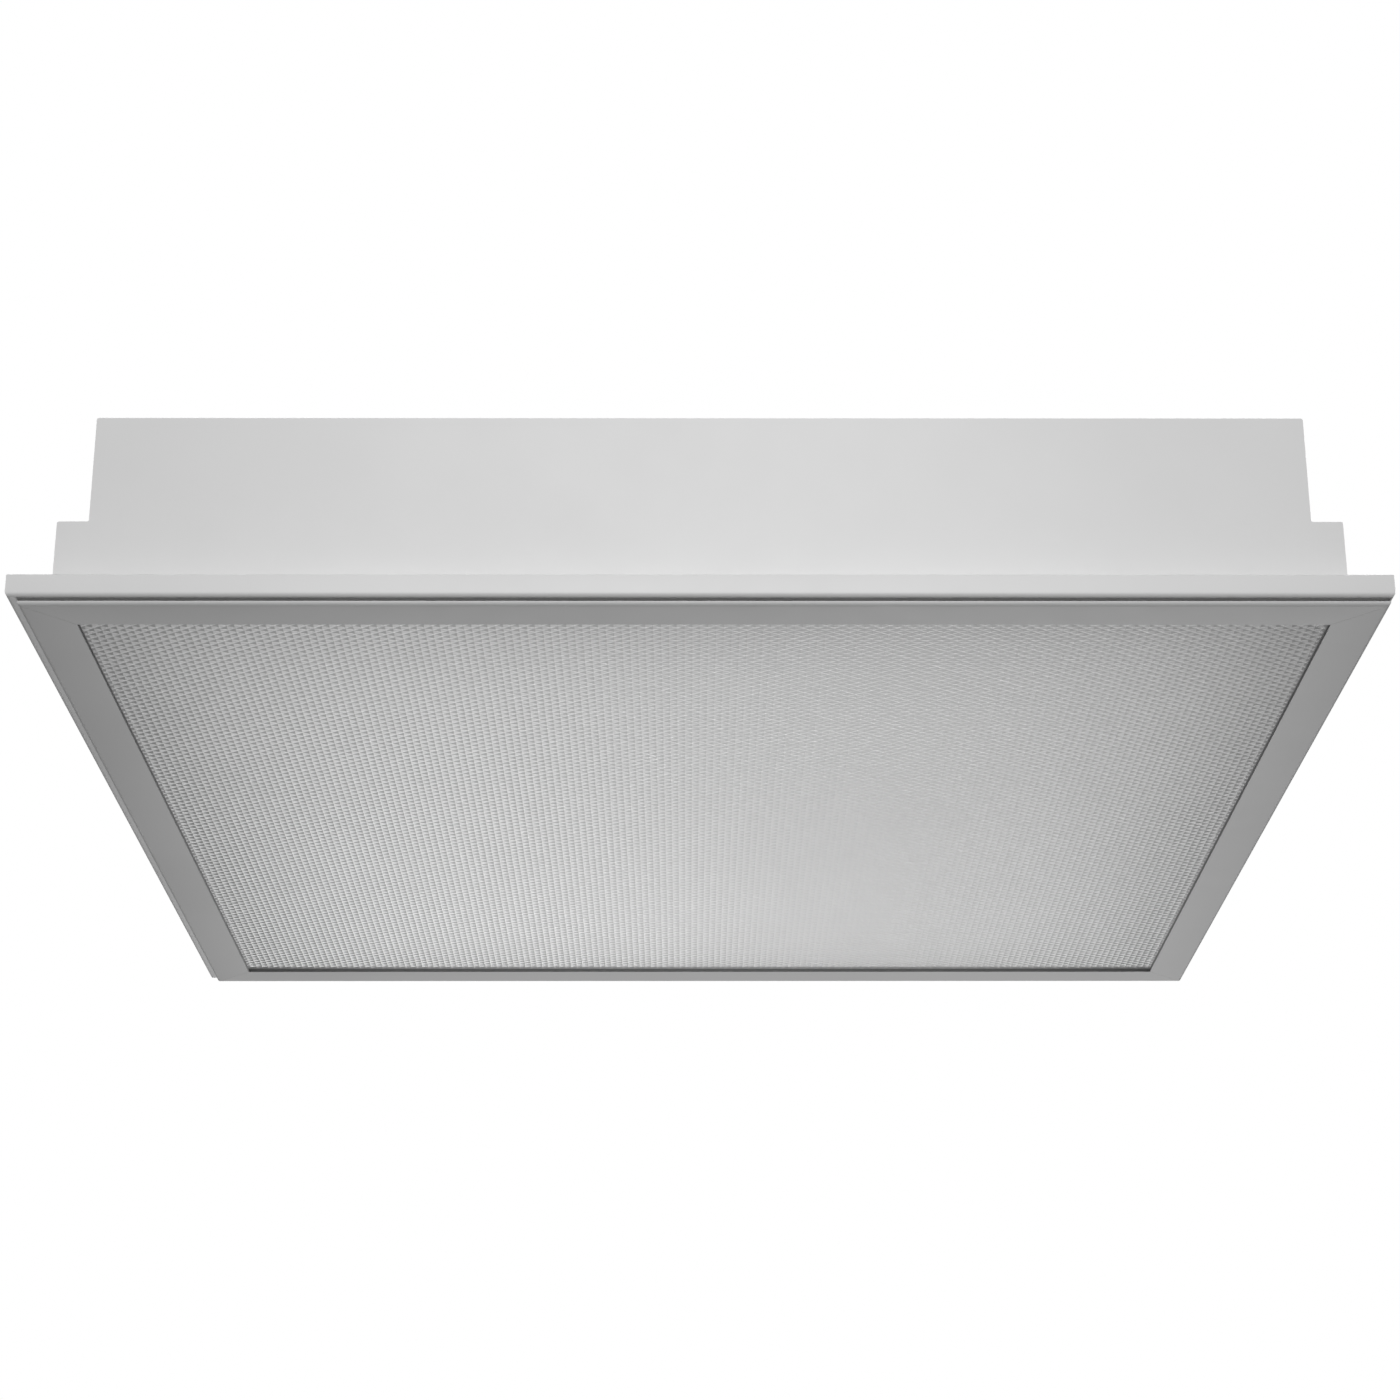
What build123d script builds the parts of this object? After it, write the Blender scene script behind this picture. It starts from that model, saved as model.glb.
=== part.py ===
from build123d import *
import os
from math import radians, tan

# Recessed troffer light, seen as it hangs: +Z is up into the ceiling and -Y is the side nearest the viewer.
# The origin is the middle of the flange's outline, on the plane of the door's lower face.
# Lengths are in millimetres. A half is a distance from the middle plane of the light.

os.makedirs("parts", exist_ok=True)

# ---- housing -------------------------------------------------------------------------------------
flange_side = 595.0          # outer side of the square flange, for a 600 mm ceiling module
flange_height = 10.0         # skirt of the flange
flange_edge_radius = 2.0     # rounded lower outer edge of the flange
ledge_width = 16.1           # top of the flange that bears against the ceiling
flange_lip_width = 8.5       # underside of the flange that the door closes against
lower_tier_height = 32.2     # side wall between the flange and the step
step_width = 13.9            # ledge of the step on the left and right walls
upper_tier_height = 50.4     # side wall above the step
housing_sheet = 1.0          # folded steel of the housing
gasket_width = 2.5
gasket_inset = 0.3           # from the lip's inner edge to the gasket

# ---- diffuser door -------------------------------------------------------------------------------
door_margin = 3.1            # from the flange's outline to the door's, before the shift
door_shift = 1.7             # the door sits this far towards its hinges (+X)
rail_width = 21.9            # face of a door rail
rail_face_thickness = 2.0
rail_edge_radius = 1.9       # rounded outer edge of the door
shadow_gap = 1.0             # between the door and the flange
web_height = 6.0             # two webs stand on each rail and hold the corner cleats between them
web_thickness = 1.5
web_lip_gap = 1.8            # from the webs to the flange's lip, on the hinge side
panel_clearance = 0.5        # between the panel's edge and the inner web
channel_width = 4.5          # between the two webs
mitre_gap = 0.12             # open line of each mitre
panel_thickness = 3.0
panel_border = 3.0           # plain edge of the panel, around its prisms
prism_width = 6.92           # one prism, corner to corner across the light
prism_length = 5.02          # one prism, corner to corner along Y
prism_height = 0.5
prism_recess = 0.2           # from the border's face up to the prisms' tips
cleat_leg = 42.0
cleat_height = 4.0
snug_gap = 0.2               # a piece slid into the channel between the webs
seat_gap = 0.3               # between pieces that move apart
panel_clip_length = 16.0
panel_clip_sheet = 0.8
panel_clip_pitch = 200.0
panel_clip_grip = 3.5        # how far a clip reaches over the panel

# ---- drop hinges (right side) --------------------------------------------------------------------
hinge_inset = 80.4           # from the end plates to the hinges
knuckle_radius = 2.6
hinge_pin_radius = 1.25
running_gap = 0.06           # pin in the link's eye
holding_gap = 0.02           # pin in the knuckles
link_sheet = 1.5
link_width = 12.0
link_wall_gap = 0.3          # between the link and the housing wall
link_top_gap = 0.7           # between the link's head and the step above it
link_head_reach = 7.0
guide_gap = 1.2              # between the knuckles and the guide above them
guide_sheet = 1.8
guide_reach = 6.5
guide_ear_width = 6.0
guide_ear_height = 12.0
guide_ear_sheet = 1.0
leaf_length = 20.0
leaf_sheet = 1.2
knuckle_length = 10.0
knuckle_gap = 0.8            # between the link's eye and the knuckle beside it
notch_clearance = 1.0        # around the knuckles in the rail's webs and under the wall
leaf_plug_inset = 2.0        # the leaf's plug starts this far past the knuckle
hinge_pin_head_radius = 2.2
hinge_pin_head_height = 1.0

# ---- magnetic catches (left side) ----------------------------------------------------------------
catch_inset = 80.4           # from the end plates to the outer catches
keeper_length = 24.0
keeper_sheet = 1.2
keeper_reach = 6.0           # the keeper reaches this far in past the inner web
keeper_plug_inset = 2.0
plug_depth = 3.0             # how deep the fittings' plugs stand in the channel
magnet_length = 20.0
magnet_height = 7.0
magnet_width = 9.6
magnet_inset = 1.2           # from the lower side wall
magnet_bracket_sheet = 1.0
magnet_bracket_leg = 12.0

# ---- reflector tray and light boards -------------------------------------------------------------
tray_height = 57.0           # flat middle of the tray above the flange's underside
tray_sheet = 0.8
tray_slope_run = 51.0        # width of each sloping side
tray_lip_width = 16.0        # edge flange under the step
tray_edge_gap = 8.4          # from the edge flange to the lower side wall
tray_end_gap = 1.0
tray_screw_inset = 2.7       # from the edge of the tray to its screws
tray_screw_rows = (80.0, 240.0)
board_width = 20.0
board_sheet = 1.6
board_end_gap = 0.5          # between a board and the connector slot
board_end_margin = 1.9       # between a board and the tray's end
board_side_margin = 15.0     # between the outermost boards and the slopes
board_rows = 4
chip_size = 3.0
chip_height = 0.7
chip_pitch = 20.0

# ---- driver and wiring ---------------------------------------------------------------------------
driver_length = 280.0
driver_width = 42.0
driver_height = 22.0
driver_wall = 1.0
driver_centre = 60.0         # towards the rear
driver_cap_length = 14.0
driver_foot_length = 14.0
driver_foot_width = 26.0
driver_cap_plug = 6.0        # depth of a cap's plug in the case
driver_mouth_pitch = 14.0
driver_foot_sheet = 1.2
terminal_centre = 150.0
terminal_pole_pitch = 12.0
terminal_depth = 18.0
terminal_height = 18.0
terminal_foot_length = 12.0
terminal_foot_width = 10.0
terminal_foot_height = 4.0
button_width = 6.0
button_depth = 7.0
button_height = 6.0
button_proud = 2.5
button_travel = 1.5
button_gap = 0.1             # sliding gap on each side of a button
wire_mouth_radius = 1.7
wire_mouth_depth = 8.0
clamp_length = 30.0
clamp_width = 12.0
clamp_base_height = 7.0
clamp_bar_height = 6.5
clamp_screw_inset = 4.0
cable_radius = 4.5           # mains cable that the clamp is made for
cable_side = 100.0           # clamp and grommet stand this far to the right of the terminal block
cable_clamp_row = 165.0      # clamp, towards the rear
cable_entry_inset = 80.4     # from the rear end plate to the grommet
stud_radius = 2.0
stud_length = 16.0
stud_board_gap = 0.5         # between the earth stud's flange and the light board beside it
nut_across_flats = 7.0
nut_height = 3.2
washer_radius = 4.5
washer_height = 0.8
ring_height = 0.8            # ring terminal of the earth lead
ring_tongue_width = 4.0
ring_tongue_length = 5.0
lead_radius = 1.2
lead_spacing = 6.0           # between the live and the neutral lead
lead_unit = 10.0             # the leads' routes are laid out in steps of this
connector_length = 14.0
connector_width = 9.0
connector_height = 9.0
connector_collar = 2.0       # width and thickness of the connector's collar
connector_mouth_pitch = 4.4
connector_mouth_depth = 4.0

# ---- openings in the top and what closes them ----------------------------------------------------
hatch_length = 110.0
hatch_width = 64.0
hatch_lap = 14.0
cover_sheet = 1.0
cover_corner_radius = 4.0
cover_rim_depth = 3.0
grommet_bore_radius = 5.0
grommet_neck_radius = 8.0
grommet_flange_radius = 11.0
grommet_flange_height = 2.5
hanger_pitch = 400.0
hanger_thread_radius = 2.5
hanger_barrel_radius = 4.5
hanger_barrel_length = 12.0
hanger_flange_radius = 7.0
hanger_flange_height = 0.8
hanger_swell = 1.0           # the set barrel is this much thicker under the sheet
hanger_swell_length = 3.0

# ---- fasteners and hold-down clips ---------------------------------------------------------------
screw_radius = 1.5
screw_head_radius = 3.0
screw_head_height = 2.0
screw_slot_width = 0.8
screw_length = 6.0
hole_gap = 0.1               # around a screw, rivet or barrel in its hole
rivet_radius = 1.6
rivet_head_radius = 3.2
rivet_head_height = 1.0
rivet_tail = 2.0
end_tab_length = 14.0
end_tab_inset = 10.0         # from the upper walls to the top tab's ends
side_tab_foot = 6.0          # from the step to the side tabs
side_tab_head = 8.0          # from the side tabs to the top
rivet_columns = (-200.0, 0.0, 200.0)
rivet_rows = (15.0, 35.0)    # above the step
clip_row = 120.0
clip_sheet = 1.5
clip_width = 11.0
clip_reach = 28.5            # from its pivot to its free end
clip_toe_height = 6.0
clip_pivot_radius = 2.5
clip_thread_radius = 2.0
clip_nut_radius = 3.5
clip_nut_height = 2.0
clip_thread_end = 1.0        # thread standing out of the nut plate
clip_slack = 0.1             # the pivot's shoulder is this much taller than the clip
past = 1.0                   # cutters run this far past a face

# ---- worked out from the above -------------------------------------------------------------------
door_top = rail_face_thickness
flange_bottom = door_top + shadow_gap
ledge_top = flange_bottom + flange_height
ledge_underside = ledge_top - housing_sheet
flange_half = flange_side / 2
wall_half = flange_half - ledge_width
wall_inner = wall_half - housing_sheet
step_top = ledge_top + lower_tier_height
step_underside = step_top - housing_sheet
upper_half = wall_half - step_width
upper_inner = upper_half - housing_sheet
top_z = step_top + upper_tier_height
top_underside = top_z - housing_sheet
lip_inner = flange_half - flange_lip_width

door_half = flange_half - door_margin
opening_half = door_half - rail_width
web_top = door_top + web_height
outer_web = lip_inner - web_lip_gap - door_shift - web_thickness
channel_start = outer_web - channel_width
inner_web = channel_start - web_thickness
panel_half = inner_web - panel_clearance
panel_top = door_top + panel_thickness
prism_field = 2 * (panel_half - panel_border)
prism_columns = round(2 * prism_field / prism_width)
prism_rows = round(2 * prism_field / prism_length)

link_outer = wall_inner - link_wall_gap
link_inner = link_outer - link_sheet
hinge_x = (link_outer + link_inner) / 2
link_top = step_underside - link_top_gap
hinge_axis_height = web_top + leaf_sheet
guide_bottom = hinge_axis_height + knuckle_radius + guide_gap
hinge_rows = (hinge_inset - wall_inner, wall_inner - hinge_inset)
notch_floor = hinge_axis_height - knuckle_radius - notch_clearance
knuckle_start = link_width / 2 + knuckle_gap
leaf_end = knuckle_start + leaf_length
notch_half = knuckle_start + knuckle_length + hinge_pin_head_height + notch_clearance

tray_under = flange_bottom + tray_height
tray_top = tray_under + tray_sheet
tray_edge = wall_inner - tray_edge_gap
tray_length = 2 * (wall_inner - tray_end_gap)
tray_foot_half = tray_edge - tray_lip_width
tray_flat_half = tray_foot_half - tray_slope_run
tray_screw_x = tray_edge - tray_screw_inset
board_row_pitch = (2 * (tray_flat_half - board_side_margin) - board_width) / (board_rows - 1)
board_length = (tray_length - connector_length) / 2 - board_end_gap - board_end_margin
clip_x = (wall_half + upper_half) / 2
rivet_y = wall_inner - end_tab_length / 2
catch_rows = (catch_inset - wall_inner, 0.0, wall_inner - catch_inset)
driver_mouth_height = tray_top + driver_height / 2
driver_mouths = [driver_centre - driver_mouth_pitch / 2, driver_centre + driver_mouth_pitch / 2]
pole_spots = [-terminal_pole_pitch, 0.0, terminal_pole_pitch]
terminal_length = len(pole_spots) * terminal_pole_pitch
terminal_top = tray_top + terminal_height
terminal_front = terminal_centre - terminal_depth / 2
cable_entry_row = wall_inner - cable_entry_inset
stud_side = (board_row_pitch - board_width) / 2 - washer_radius - stud_board_gap
mouth_height = tray_top + terminal_height / 3
clamp_split = tray_top + clamp_base_height
clamp_top = clamp_split + clamp_bar_height
front_rear = (-1, 1)


def block(x0, x1, y0, y1, z0, z1):
    """A box between two opposite corners, given in any order."""
    middle = Pos((x0 + x1) / 2, (y0 + y1) / 2, (z0 + z1) / 2)
    return middle * Box(abs(x1 - x0), abs(y1 - y0), abs(z1 - z0))


def rod(radius, x, y, z0, z1):
    """An upright cylinder from z0 to z1."""
    return Pos(x, y, (z0 + z1) / 2) * Cylinder(radius, abs(z1 - z0))


def rod_y(radius, x, z, y0, y1):
    """A cylinder along Y from y0 to y1."""
    return Pos(x, (y0 + y1) / 2, z) * Rot(90, 0, 0) * Cylinder(radius, abs(y1 - y0))


def face_of(points):
    """A flat face inside a closed outline."""
    return make_face(Polyline(*points, close=True))


def along_y(face, y0, y1):
    """A section drawn as (x, z) made solid from y0 to y1."""
    plane = Plane(origin=(0, y1, 0), x_dir=(1, 0, 0), z_dir=(0, -1, 0))
    return extrude(plane * face, y1 - y0)


def grouped(solids):
    """Separate solids that share one node."""
    return Compound([solid for shape in solids for solid in shape.solids()])


def save(shape, node):
    """Writes one node."""
    export_step(shape, "parts/" + node + ".step")


def screw(length, head_radius=screw_head_radius, radius=screw_radius):
    """A pan head screw, its head's underside at z = 0 and its shank pointing down."""
    head = Pos(0, 0, screw_head_height / 2) * Cylinder(head_radius, screw_head_height)
    head = fillet(head.edges().sort_by(Axis.Z)[-1], screw_head_height * 0.4)
    for turn in (0, 90):
        slot = Box(head_radius * 1.2, screw_slot_width, screw_head_height)
        head -= Pos(0, 0, screw_head_height) * Rot(0, 0, turn) * slot
    return head + Pos(0, 0, -length / 2) * Cylinder(radius, length)


def rivet(grip):
    """A pop rivet, its head's underside at z = 0, through sheets of the given grip."""
    head = Pos(0, 0, rivet_head_height / 2) * Cylinder(rivet_head_radius, rivet_head_height)
    head = fillet(head.edges().sort_by(Axis.Z)[-1], rivet_head_height * 0.8)
    tail_top = -grip
    tail = Pos(0, 0, tail_top - rivet_tail / 2) * Cylinder(rivet_radius * 1.5, rivet_tail)
    return head + tail + Pos(0, 0, tail_top / 2) * Cylinder(rivet_radius, grip)


def nut(x, y, z0):
    """A hexagon nut on its lower face, bored for the earth stud."""
    blank = extrude(RegularPolygon(nut_across_flats / 2, 6, major_radius=False), nut_height)
    return Pos(x, y, z0) * (blank - Cylinder(stud_radius, 3 * nut_height))


# ---- housing: shell and end plates ---------------------------------------------------------------
def stepped_face(inset, floor):
    """The housing's stepped outline as (x, z), drawn in by the sheet's thickness."""
    wall, upper = wall_half - inset, upper_half - inset
    step, top = step_top - inset, top_z - inset
    right = [(wall, floor), (wall, step), (upper, step), (upper, top)]
    left = [(-x, z) for x, z in reversed(right)]
    return face_of(right + left)


def rounded_stepped_face():
    """The outer outline with its six folds rounded."""
    outline = stepped_face(0, ledge_underside)
    folds = outline.vertices().sort_by(Axis.Y)[2:]
    return fillet(folds, 0.95 * housing_sheet)


def rivet_places():
    """Where the end plates are riveted to the shell: on the top, and on both upper walls."""
    places = []
    for end in front_rear:
        for x in rivet_columns:
            places.append(Pos(x, end * rivet_y, top_z))
        for side in (-1, 1):
            for row in rivet_rows:
                wall = Pos(side * upper_half, end * rivet_y, step_top + row)
                places.append(wall * Rot(0, side * 90, 0))
    return places


def hanger_places():
    """The four suspension points in the top."""
    half = hanger_pitch / 2
    return [(x, y) for x in (-half, half) for y in (-half, half)]


def tray_screw_places():
    """Screws that hold the tray's edge flanges under the step ledges."""
    rows = [side * row for row in tray_screw_rows for side in front_rear]
    return [(side * tray_screw_x, y) for side in (-1, 1) for y in rows]


def clip_places():
    """Pivots of the hold-down clips: side of the light, end of the light."""
    return [(side, end) for side in (-1, 1) for end in front_rear]


def cover_screw_places():
    """Screws of the wiring cover."""
    x, y = (hatch_length + hatch_lap) / 2, (hatch_width + hatch_lap) / 2
    return [(sx * x, terminal_centre + sy * y) for sx in (-1, 1) for sy in (-1, 1)]


def rivet_hole():
    """Cutter for one rivet's hole through two sheets."""
    return Cylinder(rivet_radius + hole_gap, 6 * housing_sheet)


def make_shell():
    """Folded top, upper walls, steps and lower walls, open below and at both ends."""
    shell = along_y(rounded_stepped_face(), -wall_inner, wall_inner)
    shell -= along_y(stepped_face(housing_sheet, ledge_underside - past), -wall_half, wall_half)
    cutters = [place * rivet_hole() for place in rivet_places()]
    low, high = top_underside - past, top_z + past
    for x, y in hanger_places():
        cutters.append(rod(hanger_barrel_radius + hole_gap, x, y, low, high))
    for x, y in cover_screw_places():
        cutters.append(rod(screw_radius + hole_gap, x, y, low, high))
    cutters.append(rod(grommet_neck_radius, cable_side, cable_entry_row, low, high))
    cutters.append(block(-hatch_length / 2, hatch_length / 2, terminal_centre - hatch_width / 2,
                         terminal_centre + hatch_width / 2, low, high))
    for x, y in tray_screw_places():
        cutters.append(rod(screw_radius + hole_gap, x, y, step_underside - past, step_top + past))
    for side, end in clip_places():
        cutters.append(rod(clip_thread_radius + hole_gap, side * clip_x, end * clip_row,
                           step_underside - past, step_top + past))
    relief_top = hinge_axis_height + knuckle_radius + notch_clearance
    for row in hinge_rows:
        cutters.append(block(wall_inner - past, wall_half + past, row - notch_half, row + notch_half,
                             ledge_underside - past, relief_top))
    return shell - cutters


def make_end_plate(end):
    """Flat stepped plate with tabs folded inwards under the top and inside the upper walls."""
    outer, inner = end * wall_half, end * wall_inner
    plate = along_y(rounded_stepped_face(), min(outer, inner), max(outer, inner))
    tab_end = end * (wall_inner - end_tab_length)
    tab_half = upper_inner - end_tab_inset
    plate += block(-tab_half, tab_half, inner, tab_end, top_underside - housing_sheet, top_underside)
    for side in (-1, 1):
        plate += block(side * upper_inner, side * (upper_inner - housing_sheet), inner, tab_end,
                       step_top + side_tab_foot, top_underside - side_tab_head)
    return plate - [place * rivet_hole() for place in rivet_places()]


save(make_shell(), "body_shell")
save(make_end_plate(-1), "end_plate_front")
save(make_end_plate(1), "end_plate_rear")
save(grouped(place * rivet(2 * housing_sheet) for place in rivet_places()), "end_plate_rivets")


# ---- flange rails and door rails -----------------------------------------------------------------
def mitred(section, half, gap):
    """The front rail of a square frame: its section, drawn as (distance out, z), mitred at both ends."""
    plane = Plane(origin=(half, 0, 0), x_dir=(0, -1, 0), z_dir=(-1, 0, 0))
    rail = extrude(plane * section, 2 * half)
    reach = half + past
    wedge = extrude(face_of([(0, -gap), (-reach, -reach - gap), (reach, -reach - gap)]), top_z)
    return rail & wedge


def flange_section():
    """A C opening inwards: top ledge, skirt and the lip that the door closes against."""
    sheet, skirt = housing_sheet, flange_half - housing_sheet
    low, high = flange_bottom, ledge_top
    outline = face_of([(wall_half, high), (flange_half, high), (flange_half, low), (lip_inner, low),
                       (lip_inner, low + sheet), (skirt, low + sheet), (skirt, high - sheet),
                       (wall_half, high - sheet)])
    edge = outline.vertices().sort_by_distance((flange_half, low))[0]
    outline = fillet(edge, flange_edge_radius)
    hollow = outline.vertices().sort_by_distance((skirt, low + sheet))[0]
    return fillet(hollow, max(flange_edge_radius - sheet, 0.1 * sheet))


def rail_section():
    """Face plate with a rounded outer edge, and two webs standing on it."""
    face = face_of([(opening_half, 0), (door_half, 0), (door_half, door_top), (opening_half, door_top)])
    edge = face.vertices().sort_by_distance((door_half, 0))[0]
    section = fillet(edge, min(rail_edge_radius, 0.95 * rail_face_thickness))
    root = door_top / 2
    for start in (inner_web, outer_web):
        end = start + web_thickness
        section += face_of([(start, root), (end, root), (end, web_top), (start, web_top)])
    return section


sides = ("front", "right", "rear", "left")
flange_rail = mitred(flange_section(), flange_half, 0)
for quarter, side in enumerate(sides):
    save(Rot(0, 0, 90 * quarter) * flange_rail, "flange_rail_" + side)


def hinge_notches():
    """Cutters in the hinge side's webs: deep under the knuckles, and through both webs at the link."""
    cutters = []
    for row in hinge_rows:
        inner, outer = door_shift + inner_web - past, door_shift + channel_start + snug_gap
        cutters.append(block(inner, outer, row - notch_half, row + notch_half, notch_floor, web_top + past))
        far = door_shift + outer_web + web_thickness + past
        near_end, far_end = row - knuckle_start, row + knuckle_start
        cutters.append(block(inner, far, near_end, far_end, notch_floor, web_top + past))
    return cutters


door_rail = mitred(rail_section(), door_half, mitre_gap / 2 ** 0.5)
for quarter, side in enumerate(sides):
    rail = Pos(door_shift, 0, 0) * Rot(0, 0, 90 * quarter) * door_rail
    if side == "right":
        rail -= hinge_notches()
    save(rail, "door_rail_" + side)


def make_gasket_strip():
    """One foam strip under the flange's lip, its ends butted at the corners."""
    thickness = shadow_gap - seat_gap
    inner, outer = lip_inner + gasket_inset, lip_inner + gasket_inset + gasket_width
    return block(-outer, inner, -outer, -inner, flange_bottom - thickness, flange_bottom)


save(grouped(Rot(0, 0, 90 * q) * make_gasket_strip() for q in range(4)), "flange_gasket")


# ---- what the door carries -----------------------------------------------------------------------
def on_door(shape, quarter=0):
    """Turns a piece drawn on the front rail to another rail, and moves it with the door."""
    return Pos(door_shift, 0, 0) * Rot(0, 0, 90 * quarter) * shape


def make_cleat():
    """An L of square bar in the channel, around the front left corner."""
    near, far = channel_start + snug_gap, outer_web - snug_gap
    low, high = door_top, door_top + cleat_height
    leg = block(-far, -far + cleat_leg, -far, -near, low, high)
    return leg + block(-far, -near, -far, -far + cleat_leg, low, high)


def prism_cutter():
    """What the prisms leave open: slanting ridges, each through one line of the prisms' tips."""
    across, along = prism_field / prism_columns, prism_field / prism_rows
    pitch = across * along / (across ** 2 + along ** 2) ** 0.5
    tips = door_top + prism_recess
    count = prism_columns + prism_rows
    outline = [(k * pitch, tips + prism_height * (k % 2)) for k in range(-2, count + 3)]
    outline += [(outline[-1][0], -past), (outline[0][0], -past)]
    edge = prism_field / 2
    plane = Plane(origin=(-edge, -edge, 0), x_dir=(along, across, 0), z_dir=(across, -along, 0))
    ridges = extrude(plane * face_of(outline), 2 * prism_field, both=True)
    return ridges & block(-edge, edge, -edge, edge, -past, panel_top)


def make_panel():
    """Acrylic plate with a plain border around the field of prisms in its underside."""
    return block(-panel_half, panel_half, -panel_half, panel_half, door_top, panel_top) - prism_cutter()


def make_panel_clip(along):
    """A small angle between the inner web and the panel's edge on the front rail."""
    web_side = inner_web - snug_gap / 2
    tip = panel_half - panel_clip_grip
    left, right = along - panel_clip_length / 2, along + panel_clip_length / 2
    foot = block(left, right, -web_side, -tip, panel_top, panel_top + panel_clip_sheet)
    return foot + block(left, right, -web_side, -web_side + panel_clip_sheet, panel_top, web_top)


def channel_plug(y0, y1, side):
    """A foot that a fitting presses into the channel of the right (1) or left (-1) rail."""
    near = door_shift + side * (channel_start + snug_gap)
    far = door_shift + side * (outer_web - snug_gap)
    return block(near, far, y0, y1, web_top - plug_depth, web_top)


def make_keeper(row):
    """A steel plate on the left rail's webs, for the magnet above it."""
    outer = door_shift - outer_web - web_thickness
    inner = door_shift - inner_web + keeper_reach
    low, high = row - keeper_length / 2, row + keeper_length / 2
    plate = block(outer, inner, low, high, web_top, web_top + keeper_sheet)
    return plate + channel_plug(low + keeper_plug_inset, high - keeper_plug_inset, -1)


def make_magnet(row):
    """The catch's magnet, hung under its bracket just above the keeper."""
    outer = -wall_inner + magnet_inset
    low = web_top + keeper_sheet + seat_gap
    return block(outer, outer + magnet_width, row - magnet_length / 2, row + magnet_length / 2,
                 low, low + magnet_height)


def make_magnet_bracket(row):
    """An angle on the lower side wall, over the magnet."""
    low = web_top + keeper_sheet + seat_gap + magnet_height
    left, right = row - magnet_length / 2, row + magnet_length / 2
    inner = -wall_inner + magnet_inset + magnet_width
    shelf = block(-wall_inner, inner, left, right, low, low + magnet_bracket_sheet)
    leg_top = low + magnet_bracket_leg
    return shelf + block(-wall_inner, -wall_inner + magnet_bracket_sheet, left, right, low, leg_top)


clip_spots = (-panel_clip_pitch / 2, panel_clip_pitch / 2)
save(on_door(make_panel()), "prismatic_panel")
save(grouped(on_door(make_cleat(), q) for q in range(4)), "corner_cleats")
save(grouped(on_door(make_panel_clip(a), q) for q in range(4) for a in clip_spots), "panel_clips")
save(grouped(make_keeper(row) for row in catch_rows), "catch_keepers")
save(grouped(make_magnet(row) for row in catch_rows), "catch_magnets")
save(grouped(make_magnet_bracket(row) for row in catch_rows), "magnet_brackets")


# ---- drop hinges ---------------------------------------------------------------------------------
def make_link(row):
    """A strip that slides down the wall: an eye for the pin below and a folded stop head above."""
    left, right = row - link_width / 2, row + link_width / 2
    strip = block(link_inner, link_outer, left, right, hinge_axis_height, link_top)
    head = block(link_outer - link_head_reach, link_outer, left, right, link_top - link_sheet, link_top)
    eye = rod_y(knuckle_radius, hinge_x, hinge_axis_height, left, right)
    bore = rod_y(hinge_pin_radius + running_gap, hinge_x, hinge_axis_height, left - past, right + past)
    return strip + head + eye - bore


def make_guide(row):
    """A fork on the lower wall that the link slides through; the link's head stops on it."""
    inner = wall_inner - guide_reach
    half = link_width / 2 + seat_gap + guide_ear_width
    low, high = guide_bottom, guide_bottom + guide_sheet
    fork = block(inner, wall_inner, row - half, row + half, low, high)
    slot_half = link_width / 2 + seat_gap
    fork -= block(link_inner - seat_gap, wall_inner, row - slot_half, row + slot_half,
                  low - past, high + past)
    for end in front_rear:
        ear_start, ear_end = row + end * slot_half, row + end * half
        fork += block(wall_inner - guide_ear_sheet, wall_inner, ear_start, ear_end,
                      high, high + guide_ear_height)
    return fork


def make_leaf(row, end):
    """One half of the door's hinge leaf: a knuckle, and a plate pressed onto the rail's webs."""
    y0, y1 = row + end * knuckle_start, row + end * leaf_end
    outer = door_shift + outer_web + web_thickness
    plate = block(hinge_x, outer, y0, y1, web_top, web_top + leaf_sheet)
    knuckle_end = y0 + end * knuckle_length
    plate -= block(hinge_x - past, hinge_x + knuckle_radius, knuckle_end, y1 + end, web_top - past,
                   web_top + leaf_sheet + past)
    knuckle = rod_y(knuckle_radius, hinge_x, hinge_axis_height, min(y0, knuckle_end), max(y0, knuckle_end))
    bore = rod_y(hinge_pin_radius + holding_gap, hinge_x, hinge_axis_height, row - leaf_end, row + leaf_end)
    return plate + knuckle - bore + channel_plug(knuckle_end + end * leaf_plug_inset, y1 - end, 1)


def make_hinge_pin(row):
    """Pin through the link's eye and both knuckles, with a head at each end."""
    end = knuckle_start + knuckle_length
    pin = rod_y(hinge_pin_radius, hinge_x, hinge_axis_height, row - end, row + end)
    for side in front_rear:
        y0, y1 = row + side * end, row + side * (end + hinge_pin_head_height)
        pin += rod_y(hinge_pin_head_radius, hinge_x, hinge_axis_height, min(y0, y1), max(y0, y1))
    return pin


for name, row in zip(("front", "rear"), hinge_rows):
    save(make_link(row), "hinge_link_" + name)
save(grouped(make_guide(row) for row in hinge_rows), "hinge_guides")
save(grouped(make_leaf(row, end) for row in hinge_rows for end in front_rear), "hinge_leaves")
save(grouped(make_hinge_pin(row) for row in hinge_rows), "hinge_pins")


# ---- reflector tray, boards and light sources ----------------------------------------------------
def connector_place():
    """Where the light boards' leads come up through the tray, between the two boards of a row."""
    return board_row_pitch * 1.5, 0.0


def driver_screw_places():
    """Screws through the driver's feet."""
    x = driver_length / 2 + driver_cap_length + driver_foot_length / 2
    return [(-x, driver_centre), (x, driver_centre)]


def terminal_peg_places():
    """Pegs of the terminal block's two feet."""
    x = terminal_length / 2 + terminal_foot_length / 2
    return [(-x, terminal_centre), (x, terminal_centre)]


def clamp_screw_places():
    """The clamp's two screws, either side of the cable."""
    offset = clamp_length / 2 - clamp_screw_inset
    return [(cable_side + s * offset, cable_clamp_row) for s in (-1, 1)]


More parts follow.
